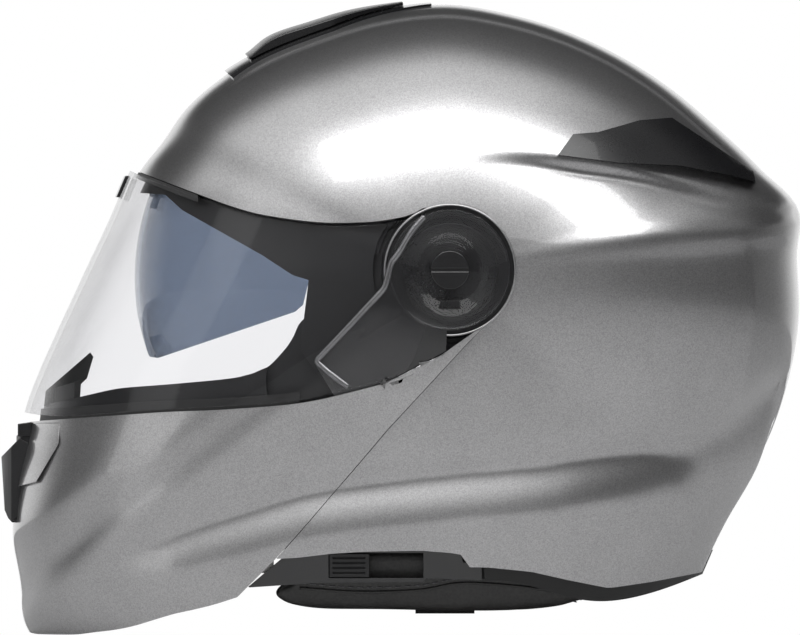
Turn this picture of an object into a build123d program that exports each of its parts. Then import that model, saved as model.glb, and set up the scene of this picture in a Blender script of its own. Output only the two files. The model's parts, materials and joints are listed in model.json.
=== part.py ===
from build123d import *
import math
import os

os.makedirs("parts", exist_ok=True)

# Modular motorcycle helmet, in millimetres. It faces -X, its top is +Z, and the wearer's
# left side is at -Y. The origin lies under the middle of the helmet, at its lowest level.

# Overall sizes: the height and the width keep to the length, as on helmets of every size
helmet_length = 350.7
height_share = 0.794126
width_share = 0.353579
helmet_height = height_share * helmet_length
half_width = width_share * helmet_length
pod_rise = 4.0
pod_inner_reach = 32.0
pod_outer_reach = 95.0
shield_flare = 2.6
section_step = 6.0
stations = 21
roundness = 0.15

# Hinge axis of the chin bar and the face shield, as shares of length and height
hinge_x_share = 0.0634
hinge_z_share = 0.575
hinge_x = hinge_x_share * helmet_length
hinge_z = hinge_z_share * helmet_height

# Walls and clearances
shell_wall = 3.0
chin_wall = 2.8
shield_wall = 2.2
shield_stand = 4.0
seam_gap = 0.4
fit_gap = 0.3
bore_gap = 0.3
pin_play = 0.1
pin_overreach = 1.0
overrun = 60.0

# How near to the hinge axis the skins come: those with a pod, and those that stay clear of it
core_reach = 24.0
frame_reach = 34.0
rear_vent_reach = 40.0
far_reach = 60.0
front_reach = 90.0
surface_tolerance = 0.02
smallest_step = 0.001
crumb_share = 0.2

# Distance of the outer skin from the hinge axis on the middle plane, as shares of the length:
# angle from straight ahead, upwards, and the share
skin_shares = [
    (-160, 0.4474), (-144, 0.4577), (-137, 0.4671), (-130, 0.4904), (-120, 0.5418),
    (-110, 0.6045), (-100, 0.6615), (-90, 0.6986), (-75, 0.7157), (-60, 0.7129),
    (-48, 0.7015), (-40, 0.6929), (-35.7, 0.6630), (-30.8, 0.6379), (-26, 0.6017),
    (-22, 0.5731), (-18, 0.5483), (-14, 0.5204), (-10, 0.4942), (-5, 0.4671),
    (0, 0.4460), (5, 0.4300), (10, 0.4192), (17.6, 0.4086), (24, 0.3949),
    (31, 0.3886), (38, 0.3778), (46, 0.3636), (60, 0.3422), (75, 0.3325),
    (90, 0.3296), (103, 0.3262), (115, 0.3293), (127, 0.3379), (140, 0.3541),
    (152, 0.3764), (162, 0.4072), (170, 0.4434), (178, 0.4357), (188, 0.4420),
]
# How far the face shield stands off that skin, as shares of shield_stand
stand_shares = [
    (-180, 1.0), (-60, 1.0), (0, 1.0), (17.6, 1.0), (31, 2.5), (45, 4.4), (60, 6.5),
    (75, 7.6), (90, 8.0), (150, 4.0),
]


def follow(table, angle):
    """Smooth curve through a table of (angle, value) that repeats every turn."""
    turn = 360.0
    first = table[0][0]
    angle = first + (angle - first) % turn
    before = [(a - turn, v) for a, v in table[-2:]]
    after = [(a + turn, v) for a, v in table[:3]]
    run = before + table + after
    for index in range(1, len(run) - 2):
        if run[index][0] <= angle <= run[index + 1][0]:
            break
    (x0, y0), (x1, y1), (x2, y2), (x3, y3) = run[index - 1:index + 3]
    slope_1 = (y2 - y0) / (x2 - x0)
    slope_2 = (y3 - y1) / (x3 - x1)
    step = x2 - x1
    s = (angle - x1) / step
    start = (2 * s**3 - 3 * s**2 + 1) * y1 + (s**3 - 2 * s**2 + s) * step * slope_1
    return start + (3 * s**2 - 2 * s**3) * y2 + (s**3 - s**2) * step * slope_2


def shell_radius(angle):
    return follow(skin_shares, angle) * helmet_length


def shield_radius(angle):
    return shell_radius(angle) + follow(stand_shares, angle) * shield_stand


def pod_lift(reach, rise):
    """The hinge covers stand proud of the shell near the axis and fade into it."""
    s = (reach - pod_inner_reach) / (pod_outer_reach - pod_inner_reach)
    s = min(max(s, 0.0), 1.0)
    return rise * (1 + math.cos(math.pi * s)) / 2


def skin_row(radius, angle, depth, rise, flare, inner_reach):
    """Points across the helmet at one angle, out to inner_reach from the hinge axis."""
    here = depth(angle) if callable(depth) else depth
    tip = radius(angle) - here
    low, high = 0.0, math.pi / 2
    for _ in range(40):
        middle = (low + high) / 2
        if tip * math.cos(middle) * (1 + roundness * math.sin(middle) ** 2) > inner_reach:
            low = middle
        else:
            high = middle
    row = []
    for j in range(stations):
        across = low * (2 * j / (stations - 1) - 1)
        reach = tip * math.cos(across) * (1 + roundness * math.sin(across) ** 2)
        wide = half_width + flare + pod_lift(reach, rise - flare) - here
        turn = math.radians(angle)
        x = hinge_x - reach * math.cos(turn)
        z = hinge_z + reach * math.sin(turn)
        row.append(Vector(x, wide * math.sin(across), z))
    return row


def skin_angles(start, end, exact):
    """Angles at whole steps, the same for every skin, with exact ends where asked."""
    first = math.floor(start / section_step)
    last = math.ceil(end / section_step)
    angles = [section_step * i for i in range(first, last + 1)]
    if exact:
        angles = [start] + [a for a in angles if start + 1 < a < end - 1] + [end]
    return angles


def skin_wall(start, end, outer, inner, rise=0.0, inner_reach=core_reach, radius=shell_radius,
              flare=0.0, exact=False):
    """A wall between two depths under the skin, from one angle to another about the hinge."""
    faces = []
    for depth in (outer, inner):
        rows = [skin_row(radius, angle, depth, rise, flare, inner_reach)
                for angle in skin_angles(start, end, exact)]
        faces.append(Face.make_surface_from_array_of_points(rows, tol=surface_tolerance,
                                                            min_deg=3, max_deg=3))
    inner_edges = faces[1].edges()
    for edge in faces[0].edges():
        partner = min(inner_edges, key=lambda e: (e.center() - edge.center()).length)
        faces.append(Face.make_surface_from_curves(edge, partner))
    return Solid(Shell(faces))


def spot(shares):
    """Side-view point from shares of the length and height."""
    return shares[0] * helmet_length, shares[1] * helmet_height


def side_face(runs, y):
    """Closed side-view outline: each run of shares is a smooth curve, or a line if it has two."""
    edges = []
    last = None
    first = None
    for run in runs:
        points = [Vector(spot(p)[0], y, spot(p)[1]) for p in run]
        if first is None:
            first = points[0]
        if last is not None and (points[0] - last).length > smallest_step:
            edges.append(Edge.make_line(last, points[0]))
        if len(points) == 2:
            edges.append(Edge.make_line(points[0], points[1]))
        elif len(points) > 2:
            edges.append(Edge.make_spline(points))
        last = points[-1]
    if (last - first).length > smallest_step:
        edges.append(Edge.make_line(last, first))
    return Face(Wire(edges))


def side_prism(runs, low, high):
    """Side-view outline pushed through the helmet from y = low to y = high."""
    return Solid.extrude(side_face(runs, low), Vector(0, high - low, 0))


def through(runs):
    return side_prism(runs, -half_width - overrun, half_width + overrun)


def corners(shares):
    """Outline of straight lines."""
    return [[shares[i], shares[(i + 1) % len(shares)]] for i in range(len(shares))]


def drum(x, z, radius, low, high):
    """Cylinder along Y from y = low to y = high."""
    plane = Plane(origin=(x, low, z), z_dir=(0, 1, 0))
    return Solid.make_cylinder(radius, high - low, plane)


def block(x0, x1, y0, y1, z0, z1):
    plane = Plane(origin=(x0, y0, z0))
    return Solid.make_box(x1 - x0, y1 - y0, z1 - z0, plane)


def slab(x_shares, half, z_shares):
    """Block across the middle plane, from shares of the length and height."""
    return block(x_shares[0] * helmet_length, x_shares[1] * helmet_length, -half, half,
                 z_shares[0] * helmet_height, z_shares[1] * helmet_height)


def one(shape):
    """The largest solid of a result."""
    if isinstance(shape, (list, ShapeList)):
        pieces = [s for part in shape for s in part.solids()]
    else:
        pieces = shape.solids()
    return max(pieces, key=lambda s: s.volume)


def big(shape):
    """Every solid of a result but its crumbs."""
    pieces = shape.solids()
    largest = max(s.volume for s in pieces)
    return Compound([s for s in pieces if s.volume > crumb_share * largest])


def opposite(shape):
    return shape.mirror(Plane.XZ)


def save(name, shape):
    shape.label = name
    export_step(shape, f"parts/{name}.step")


# Side-view outlines, as shares of the length and height
brow_shares = [
    (-0.361, 0.749), (-0.319, 0.727), (-0.253, 0.695), (-0.205, 0.674), (-0.165, 0.661),
    (-0.098, 0.650), (-0.037, 0.651), (0.001, 0.658), (0.023, 0.665),
]
parting_shares = [(0.107, 0.488), (0.091, 0.466), (-0.014, 0.322), (-0.076, 0.231),
                  (-0.149, 0.131)]
hem_front_shares = [(-0.151, 0.126), (-0.082, 0.136), (0.028, 0.141), (0.077, 0.136)]
hem_rear_shares = [(0.105, 0.115), (0.164, 0.109), (0.210, 0.096), (0.258, 0.085),
                   (0.312, 0.096), (0.378, 0.114), (0.392, 0.134)]
chin_top_shares = [
    (-0.501, 0.335), (-0.423, 0.340), (-0.313, 0.349), (-0.213, 0.355), (-0.125, 0.365),
    (-0.058, 0.383), (-0.002, 0.403), (0.033, 0.423), (0.068, 0.455), (0.096, 0.480),
]
chin_hem_shares = [
    (-0.196, 0.070), (-0.250, 0.051), (-0.301, 0.033), (-0.351, 0.015), (-0.395, 0.003),
]
rest_shares = [(-0.408, 0.0), (-0.451, 0.0)]


def shifted(shares, dx, dz):
    """The same run moved by dx and dz millimetres."""
    return [(x + dx / helmet_length, z + dz / helmet_height) for x, z in shares]


# Outer shell: one skin from the brow over the crown to the neck, with a cup for each hinge
pocket_radius = 29.0
cup_wall = 3.0
cup_depth = 12.0
cup_floor_y = half_width - cup_depth
cup_height = 6.5
cup_rim_y = cup_floor_y + cup_height
crown_reach_share = 0.329626
crown_reach = crown_reach_share * helmet_length
intake_share = 0.45
intake_length = 14.0
intake_width = 24.0
shell_outline = [
    brow_shares, [brow_shares[-1], (hinge_x_share, hinge_z_share)],
    [(hinge_x_share, hinge_z_share), parting_shares[0]], parting_shares,
    [parting_shares[-1], hem_front_shares[0]], hem_front_shares,
    [hem_front_shares[-1], (0.083, 0.115)], [(0.083, 0.115), hem_rear_shares[0]],
    hem_rear_shares, [hem_rear_shares[-1], (0.45, 0.11)],
    [(0.45, 0.11), (0.70, 0.11)], [(0.70, 0.11), (0.70, 1.20)],
    [(0.70, 1.20), (-0.361, 1.20)], [(-0.361, 1.20), brow_shares[0]],
]


def left_cup():
    body = drum(hinge_x, hinge_z, pocket_radius + cup_wall, -cup_rim_y, cup_wall - cup_floor_y)
    return body - drum(hinge_x, hinge_z, pocket_radius, -cup_rim_y - overrun, -cup_floor_y)


def outer_shell():
    wall = skin_wall(13, 306, 0.0, shell_wall)
    wall = one(wall & through(shell_outline))
    for side in (-1, 1):
        low, high = sorted((side * cup_floor_y, side * (half_width + overrun)))
        wall = one(wall - drum(hinge_x, hinge_z, pocket_radius, low, high))
    wall = wall + left_cup() + opposite(left_cup())
    return one(wall - intake_slot())


def intake_slot():
    """Air passage under the crown vent, through the shell and on into the liner."""
    x = hinge_x - intake_share * crown_reach
    return block(x, x + intake_length, -intake_width / 2, intake_width / 2,
                 hinge_z + crown_reach / 2, hinge_z + crown_reach + overrun)


# Hinge pods: base plate on the shell, arm of the chin bar, shield ratchet, and a cap
post_radius = 6.0
layer_gap = 0.4
base_plate_wall = 9.2
arm_wall = 2.0
ratchet_gap = 0.3
ratchet_wall = 1.1
ratchet_seat = 0.1
cap_wall = 1.7
base_plate_top_y = cup_floor_y + base_plate_wall
arm_inner_y = base_plate_top_y + layer_gap
arm_outer_y = arm_inner_y + arm_wall
ratchet_inner_y = arm_outer_y + ratchet_gap
ratchet_outer_y = ratchet_inner_y + ratchet_wall
shield_hub_inner_y = ratchet_outer_y + ratchet_seat
shield_hub_outer_y = shield_hub_inner_y + shield_wall
cap_inner_y = shield_hub_outer_y + layer_gap
cap_outer_y = cap_inner_y + cap_wall
arm_hub_radius = 26.4
ratchet_radius = 20.6
shield_hub_radius = 26.4
cap_radius = 8.4
cap_shank_radius = 3.0
cap_slot_width = 1.6
hinge_screw_circle = 20.0
hinge_screw_radius = 1.75
hinge_screw_head_radius = 3.4
hinge_screw_head = 2.2


def around(count, radius, start=0.0):
    """Places on a circle about the hinge axis."""
    places = []
    for i in range(count):
        turn = math.radians(start + 360.0 * i / count)
        places.append((hinge_x + radius * math.cos(turn), hinge_z + radius * math.sin(turn)))
    return places


def left_base_plate():
    plate = drum(hinge_x, hinge_z, pocket_radius - layer_gap, -base_plate_top_y, -cup_floor_y)
    plate = plate + drum(hinge_x, hinge_z, post_radius, -shield_hub_outer_y, -cup_floor_y)
    plate = plate - drum(hinge_x, hinge_z, cap_shank_radius + bore_gap, -cap_outer_y, -cup_floor_y)
    for x, z in around(3, hinge_screw_circle, 90.0):
        hole = drum(x, z, hinge_screw_radius + bore_gap, -base_plate_top_y, -cup_floor_y)
        sink = drum(x, z, hinge_screw_head_radius + bore_gap, -base_plate_top_y,
                    hinge_screw_head + bore_gap - base_plate_top_y)
        plate = plate - hole - sink
    return one(plate)


def left_hinge_screws():
    screws = []
    for x, z in around(3, hinge_screw_circle, 90.0):
        head = drum(x, z, hinge_screw_head_radius, bore_gap / 2 - base_plate_top_y,
                    hinge_screw_head + bore_gap - base_plate_top_y)
        shank = drum(x, z, hinge_screw_radius, bore_gap / 2 - base_plate_top_y, -cup_floor_y)
        screws.append(one(head + shank))
    return Compound(screws)


def left_cap():
    head = drum(hinge_x, hinge_z, cap_radius, -cap_outer_y, -cap_inner_y)
    coin_slot = block(hinge_x - cap_radius, hinge_x + cap_radius, -cap_outer_y,
                      (cap_outer_y - cap_inner_y) / 2 - cap_outer_y,
                      hinge_z - cap_slot_width / 2, hinge_z + cap_slot_width / 2)
    shank = drum(hinge_x, hinge_z, cap_shank_radius, -cap_inner_y, -cup_floor_y)
    return one(head - coin_slot + shank)


# Chin bar: outer skin, hinge arms, liner, seals, vent, latch
arm_gap = 0.1
arm_depth = chin_wall + arm_gap
arm_outline = corners([
    (0.028, 0.660), (-0.003, 0.599), (-0.013, 0.597), (-0.021, 0.545), (-0.107, 0.428),
    (-0.070, 0.352), (-0.026, 0.368), (0.020, 0.398), (0.058, 0.440), (hinge_x_share, 0.575),
])
chin_outline = [
    chin_top_shares,
    shifted([(0.105, 0.486)] + parting_shares[1:], -seam_gap, seam_gap / 2),
    chin_hem_shares, rest_shares, [(-0.478, 0.016), (-0.60, 0.016)],
    [(-0.60, 0.016), (-0.60, 0.335)], [(-0.60, 0.335), chin_top_shares[0]],
]
vent_cover_shares = [
    (-0.560, 0.337), (-0.427, 0.337), (-0.425, 0.332), (-0.426, 0.300), (-0.455, 0.237),
    (-0.560, 0.200),
]
vent_window_x_shares = (-1.0, -0.44)
vent_window_z_shares = (0.172, 0.30)
nose_half_width = 21.0


def chin_bar_shell():
    wall = skin_wall(-132, -8, 0.0, chin_wall, pod_rise)
    wall = one(wall & through(chin_outline))
    wall = one(wall - through(corners(vent_cover_shares)))
    wall = one(wall - slab(vent_window_x_shares, nose_half_width + fit_gap, vent_window_z_shares))
    boss = drum(hook_x, hook_z, hook_boss_radius, -hook_boss_y, -hook_pin_y)
    return one(wall + boss + opposite(boss))


def left_hinge_arm():
    wall = skin_wall(-132, 72, arm_depth, arm_depth + arm_wall, pod_rise)
    wall = wall & side_prism(arm_outline, -half_width - overrun, 0.0)
    hub = drum(hinge_x, hinge_z, arm_hub_radius, -arm_outer_y, -arm_inner_y)
    arm = one(wall) + hub
    return one(arm - drum(hinge_x, hinge_z, post_radius + bore_gap, -cap_outer_y, -cup_floor_y))


chin_liner_wall = 13.9
chin_liner_depth = chin_wall + fit_gap + chin_liner_wall
chin_liner_outline = corners([
    (-0.60, 0.300), (-0.300, 0.306), (-0.235, 0.310), (-0.260, 0.090), (-0.350, 0.040),
    (-0.440, 0.026), (-0.60, 0.040),
])
vent_channel_x_shares = (-1.0, -0.455)
vent_channel_z_shares = (0.17, 0.31)


def chin_liner():
    wall = skin_wall(-84, -6, chin_wall + fit_gap, chin_liner_depth, pod_rise, far_reach)
    liner = one(wall & through(chin_liner_outline))
    channel = slab(vent_channel_x_shares, nose_half_width + 2 * fit_gap, vent_channel_z_shares)
    return one(liner - channel - button_block(button_gap))


gasket_wall = 3.9
gasket_depth = chin_wall + fit_gap + gasket_wall
gasket_above = 5.0
gasket_below = 7.0


def chin_bar_gasket():
    """Soft seal along the chin bar's top edge, which the shield closes on."""
    wall = skin_wall(-132, -8, chin_wall + fit_gap, gasket_depth, pod_rise)
    top = shifted(chin_top_shares[:5], 0.0, gasket_above)
    bottom = shifted(chin_top_shares[:5], 0.0, -gasket_below)
    bottom.reverse()
    return one(wall & through([top, [top[-1], bottom[0]], bottom, [bottom[-1], top[0]]]))


deflector_half_width = 46.0
deflector_fin_half_width = 20.0
deflector_wall = 3.0
deflector_rim_shares = [
    (-0.462, 0.352), (-0.444, 0.384), (-0.390, 0.405), (-0.361, 0.409), (-0.338, 0.400),
    (-0.312, 0.392), (-0.290, 0.380), (-0.300, 0.345),
]
deflector_fin_shares = [
    (-0.446, 0.360), (-0.444, 0.384), (-0.388, 0.445), (-0.384, 0.438), (-0.392, 0.404),
    (-0.428, 0.360),
]
front_half_shares = (-1.0, 0.0)
whole_height_shares = (0.0, 1.0)


def breath_deflector():
    rim = skin_wall(-132, -8, gasket_depth + fit_gap, gasket_depth + deflector_wall, pod_rise)
    rim = rim & through(corners(deflector_rim_shares))
    fin = side_prism(corners(deflector_fin_shares), -deflector_fin_half_width,
                     deflector_fin_half_width)
    keep = slab(front_half_shares, deflector_half_width, whole_height_shares)
    return one((one(rim) + fin) & keep)


vent_proud = 1.2
nose_arc_share = 2.4
nose_front_share = -0.5
shutter_inset = 1.0
vent_wing_outline = corners([
    (-0.560, 0.331), (-0.4465, 0.334), (-0.428, 0.334), (-0.4265, 0.331), (-0.4275, 0.301),
    (-0.456, 0.240), (-0.560, 0.206),
])
nose_outline = corners([
    (-0.477, 0.309), (-0.4995, 0.280), (-0.4985, 0.259), (-0.4955, 0.196), (-0.491, 0.183),
    (-0.486, 0.176), (-0.481, 0.183), (-0.463, 0.215), (-0.463, 0.300),
])
shutter_outline = corners([
    (-0.479, 0.332), (-0.462, 0.335), (-0.462, 0.312), (-0.479, 0.312),
])


def chin_vent_cover():
    """The two wings beside the vent's nose."""
    wall = skin_wall(-84, 0, -vent_proud, chin_wall - fit_gap, pod_rise, front_reach)
    cover = one(wall & through(vent_wing_outline))
    middle = slab(front_half_shares, nose_half_width + fit_gap, whole_height_shares)
    return big(cover - middle)


def nose_plan():
    """Plan shape of the vent's nose: a blunt arc."""
    reach = nose_half_width * nose_arc_share
    centre_x = nose_front_share * helmet_length + reach
    return Solid.make_cylinder(reach, helmet_height, Plane(origin=(centre_x, 0, 0)))


def chin_vent_nose():
    return one(side_prism(nose_outline, -nose_half_width, nose_half_width) & nose_plan())


def chin_vent_shutter():
    half = nose_half_width - shutter_inset
    return one(side_prism(shutter_outline, -half, half) & nose_plan())


# Crown vent: fixed housing and a cover that slides back on it
housing_height = 2.2
cover_gap = 0.3
cover_front_angle = 46.5
cover_rear_angle = 80.0
housing_front_angle = 41.5
housing_rear_angle = 86.0
cover_height_shares = [
    (-90, 0.62), (40, 0.62), (46, 0.66), (50, 0.90), (54, 1.15), (58, 1.05), (66, 0.95),
    (74, 0.78), (80, 0.68), (90, 0.62), (200, 0.62),
]
cover_height = 5.8
housing_front_half = 33.0
housing_rear_half = 15.0
cover_front_half = 27.0
cover_rear_half = 11.0


def plan_prism(points):
    wire = Wire.make_polygon([Vector(x, y, hinge_z) for x, y in points], close=True)
    return Solid.extrude(Face(wire), Vector(0, 0, helmet_height))


def crown_plan(front_angle, rear_angle, front_half, rear_half):
    """Tapered plan of the crown vent, from the reach of its two ends."""
    front = hinge_x - crown_reach * math.cos(math.radians(front_angle)) - overrun
    middle = hinge_x - crown_reach * math.cos(math.radians((front_angle + rear_angle) / 2))
    rear = hinge_x - crown_reach * math.cos(math.radians(rear_angle))
    return plan_prism([
        (front, -front_half), (middle, -front_half), (rear, -rear_half), (rear + overrun, -rear_half),
        (rear + overrun, rear_half), (rear, rear_half), (middle, front_half), (front, front_half),
    ])


def crown_vent_housing():
    wall = skin_wall(housing_front_angle, housing_rear_angle, -housing_height, -fit_gap, 0.0,
                     far_reach, exact=True)
    wall = wall & crown_plan(housing_front_angle, housing_rear_angle, housing_front_half,
                             housing_rear_half)
    return one(one(wall) - intake_slot())


def cover_depth(angle):
    return -cover_height * follow(cover_height_shares, angle)


def crown_vent_cover():
    wall = skin_wall(cover_front_angle, cover_rear_angle, cover_depth,
                     -housing_height - cover_gap, 0.0, far_reach, exact=True)
    return one(wall & crown_plan(cover_front_angle, cover_rear_angle, cover_front_half,
                                 cover_rear_half))


# Rear exhaust vents
rear_vent_proud = 5.0
rear_vent_inner_y = 20.0
rear_vent_outline = corners([
    (0.199, 0.757), (0.218, 0.790), (0.249, 0.793), (0.302, 0.812), (0.342, 0.816),
    (0.444, 0.731), (0.447, 0.714), (0.415, 0.725), (0.352, 0.740), (0.280, 0.744),
])


def left_rear_vent():
    wall = skin_wall(102, 198, -rear_vent_proud, -fit_gap, 0.0, rear_vent_reach)
    return one(wall & side_prism(rear_vent_outline, -half_width - overrun, -rear_vent_inner_y))


# Eyeport frame behind the shell's edge, its seal, and the brow strip
frame_gap = 2.2
frame_wall = 1.4
frame_depth = shell_wall + frame_gap
frame_tuck = 8.0
# The frame lies close under the shell at the brow and deeper beside the hinge arms
frame_gap_shares = [
    (-180, 1.0), (-60, 1.0), (-24, 1.0), (-14, 0.95), (-6, 0.81), (2, 0.67), (10, 0.65),
    (60, 0.65), (120, 0.77),
]
frame_outline = [
    shifted(brow_shares, 0.0, frame_tuck),
    [shifted(brow_shares, 0.0, frame_tuck)[-1], (hinge_x_share, 0.70)],
    [(hinge_x_share, 0.70), (0.150, 0.60)], [(0.150, 0.60), (0.132, 0.464)],
    [(0.132, 0.464), (0.016, 0.306)], [(0.016, 0.306), (-0.044, 0.216)],
    [(-0.044, 0.216), (-0.108, 0.150)], [(-0.108, 0.150), (-0.185, 0.115)],
    [(-0.185, 0.115), (-0.181, 0.141)], [(-0.181, 0.141), (-0.119, 0.243)],
    [(-0.119, 0.243), (-0.068, 0.322)], [(-0.068, 0.322), (-0.081, 0.370)],
    [(-0.081, 0.370), (-0.125, 0.449)], [(-0.125, 0.449), (-0.121, 0.488)],
    [(-0.121, 0.488), (-0.117, 0.528)], [(-0.117, 0.528), (-0.114, 0.559)],
    [(-0.114, 0.559), (-0.134, 0.567)], [(-0.134, 0.567), (-0.173, 0.599)],
    [(-0.173, 0.599), (-0.273, 0.670)], [(-0.273, 0.670), (-0.294, 0.694)],
    [(-0.294, 0.694), (-0.361, 0.700)],
]


def frame_outer(angle):
    return shell_wall + frame_gap * follow(frame_gap_shares, angle)


def frame_inner(angle):
    return frame_outer(angle) + frame_wall


def eyeport_frame():
    wall = skin_wall(-84, 36, frame_outer, frame_inner, 0.0, frame_reach)
    return one(wall & through(frame_outline))


strip_proud = 0.2
strip_height = 3.2


def brow_strip():
    wall = skin_wall(6, 34, -strip_proud, shell_wall, 0.0, far_reach)
    top = shifted(brow_shares[:3], 0.0, -seam_gap)
    bottom = shifted(brow_shares[:3], 0.0, -seam_gap - strip_height)
    bottom.reverse()
    return one(wall & through([top, [top[-1], bottom[0]], bottom, [bottom[-1], top[0]]]))


# Face shield with its hub discs, ratchets, release levers and opening tab
shield_reach = 22.0
shield_chin_gap = 1.3
shield_brow_gap = 1.4
shield_low_run = shifted(chin_top_shares[:9], 0.0, shield_chin_gap)
shield_high_run = list(reversed(shifted(brow_shares[1:], 0.0, -shield_brow_gap)))
shield_outline = [
    shield_low_run, [shield_low_run[-1], (0.088, 0.486)],
    [(0.088, 0.486), (hinge_x_share, hinge_z_share)],
    [(hinge_x_share, hinge_z_share), shield_high_run[0]],
    shield_high_run, [shield_high_run[-1], (-0.336, 0.733)],
    [(-0.336, 0.733), (-0.60, 0.74)], [(-0.60, 0.74), (-0.60, 0.338)],
    [(-0.60, 0.338), shield_low_run[0]],
]
lever_x_shares = (0.048, 0.078)
lever_z_shares = (0.514, 0.530)
lever_travel = 2.5
lever_gap = 0.4
thumb_inset = 1.0
thumb_proud = 0.6
notch_radius = 1.6
notch_places = 9
notch_count = 4


def lever_block(grow, drop, low, high):
    """Left release lever's space, grown all round and lengthened downwards."""
    return block(lever_x_shares[0] * helmet_length - grow, lever_x_shares[1] * helmet_length + grow,
                 low, high, lever_z_shares[0] * helmet_height - grow - drop,
                 lever_z_shares[1] * helmet_height + grow)


def face_shield():
    wall = skin_wall(-132, 78, 0.0, shield_wall, pod_rise, shield_reach, shield_radius,
                     shield_flare)
    wall = one(wall & through(shield_outline))
    for side in (-1, 1):
        low, high = sorted((side * shield_hub_inner_y, side * shield_hub_outer_y))
        wall = wall + drum(hinge_x, hinge_z, shield_hub_radius, low, high)
    for side in (-1, 1):
        low, high = sorted((side * cup_floor_y, side * (half_width + overrun)))
        wall = wall - drum(hinge_x, hinge_z, post_radius + bore_gap, low, high)
    slot = lever_block(lever_gap - thumb_inset, lever_travel, -half_width - overrun, -cup_floor_y)
    return one(one(wall) - slot - opposite(slot))


def left_ratchet():
    disc = drum(hinge_x, hinge_z, ratchet_radius, -ratchet_outer_y, -ratchet_inner_y)
    disc = disc - drum(hinge_x, hinge_z, post_radius + bore_gap, -ratchet_outer_y, -ratchet_inner_y)
    disc = disc - lever_block(lever_gap, lever_travel, -ratchet_outer_y, -ratchet_inner_y)
    for x, z in around(notch_places, ratchet_radius, 200.0)[:notch_count]:
        disc = disc - drum(x, z, notch_radius, -ratchet_outer_y, -ratchet_inner_y)
    return one(disc)


def left_release_lever():
    plate = lever_block(0.0, 0.0, -ratchet_outer_y, -ratchet_inner_y)
    thumb = lever_block(-thumb_inset, 0.0, -shield_hub_outer_y - thumb_proud, -ratchet_outer_y)
    return one(plate + thumb)


tab_seat = 0.1
tab_wall = 1.5
tab_half_width = 14.0
tab_outline = corners([(-0.40, 0.724), (-0.31, 0.724), (-0.31, 0.690), (-0.40, 0.690)])


def shield_tab():
    wall = skin_wall(8, 24, -tab_seat - tab_wall, -tab_seat, pod_rise, front_reach,
                     shield_radius, shield_flare)
    return one(wall & side_prism(tab_outline, -tab_half_width, tab_half_width))


# Sun visor: a lens that turns about its own axis, up between shell and liner
lens_axis_share = (-0.0257, 0.5624)
lens_x, lens_z = spot(lens_axis_share)
lens_reach_share = 0.303678
lens_width_share = 0.790323
lens_reach = lens_reach_share * helmet_length
lens_half_width = lens_width_share * half_width
lens_fullness = 2.4
lens_wall = 2.0
lens_pin_radius = 2.4
lens_boss_radius = 6.0
lens_boss_proud = 0.3
lens_boss_wall = 2.8
lens_boss_outer_y = lens_half_width + lens_wall / 2 + lens_boss_proud
lens_boss_inner_y = lens_boss_outer_y - lens_boss_wall
lens_low_reach = 3.0
lens_low_angle = -26
lens_high_angle = 34
lens_section_shares = (0.0, 0.25, 0.5, 0.7, 0.84, 0.93, 1.0)
nose_cut_low_half = 22.0
nose_cut_high_half = 9.0
nose_cut_z_shares = (0.40, 0.50)
nose_cut_depth_share = 0.75


def lens_reach_at(y, reach, half):
    return reach * (1 - (abs(y) / half) ** lens_fullness) ** (1 / lens_fullness)


def lens_profile(reach, half, low_reach):
    """Right half of the lens section, from the middle plane to its side, as (reach, y)."""
    points = []
    end = half * (1 - (low_reach / reach) ** lens_fullness) ** (1 / lens_fullness)
    for share in lens_section_shares:
        y = end * share
        points.append((lens_reach_at(y, reach, half), y))
    return points


def lens_body(outer, inner, low_reach, start, end):
    """Revolve the lens section about its axis between two angles from straight ahead."""
    rows = []
    for grow in (outer, inner):
        half = lens_profile(lens_reach + grow, lens_half_width + grow, low_reach)
        rows.append([(r, -y) for r, y in reversed(half[1:])] + half)
    edges = []
    for row in rows:
        edges.append(Edge.make_spline([Vector(lens_x - r, y, lens_z) for r, y in row]))
    for index in (0, -1):
        tips = [Vector(lens_x - row[index][0], row[index][1], lens_z) for row in rows]
        edges.insert(1 if index == -1 else 3, Edge.make_line(tips[0], tips[1]))
    face = Face(Wire([edges[0], edges[1], edges[2], edges[3]]))
    axis = Axis((lens_x, 0, lens_z), (0, 1, 0))
    face = face.rotate(axis, start)
    return Solid.revolve(face, end - start, axis)


lens_outline = corners([
    (-0.40, 0.80), (-0.290, 0.770), (-0.150, 0.640), (-0.045, 0.592), (-0.014, 0.580),
    (-0.005, 0.562), (-0.014, 0.545), (-0.060, 0.545), (-0.114, 0.556), (-0.121, 0.520),
    (-0.131, 0.509), (-0.303, 0.436), (-0.313, 0.438), (-0.322, 0.452), (-0.40, 0.50),
])


def sun_visor():
    lens = lens_body(lens_wall / 2, -lens_wall / 2, lens_low_reach, lens_low_angle,
                     lens_high_angle)
    boss = drum(lens_x, lens_z, lens_boss_radius, -lens_boss_outer_y, -lens_boss_inner_y)
    lens = one(lens & through(lens_outline)) + boss + opposite(boss)
    for side in (-1, 1):
        low, high = sorted((side * lens_half_width / 2, side * half_width))
        lens = lens - drum(lens_x, lens_z, lens_pin_radius + bore_gap, low, high)
    low_z, high_z = [share * helmet_height for share in nose_cut_z_shares]
    nose = Wire.make_polygon([
        Vector(-helmet_length, -nose_cut_low_half, low_z),
        Vector(-helmet_length, nose_cut_low_half, low_z),
        Vector(-helmet_length, nose_cut_high_half, high_z),
        Vector(-helmet_length, -nose_cut_high_half, high_z)], close=True)
    cut = Solid.extrude(Face(nose), Vector(nose_cut_depth_share * helmet_length, 0, 0))
    return one(one(lens) - cut)


lens_pivot_rim = 2.0


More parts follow.
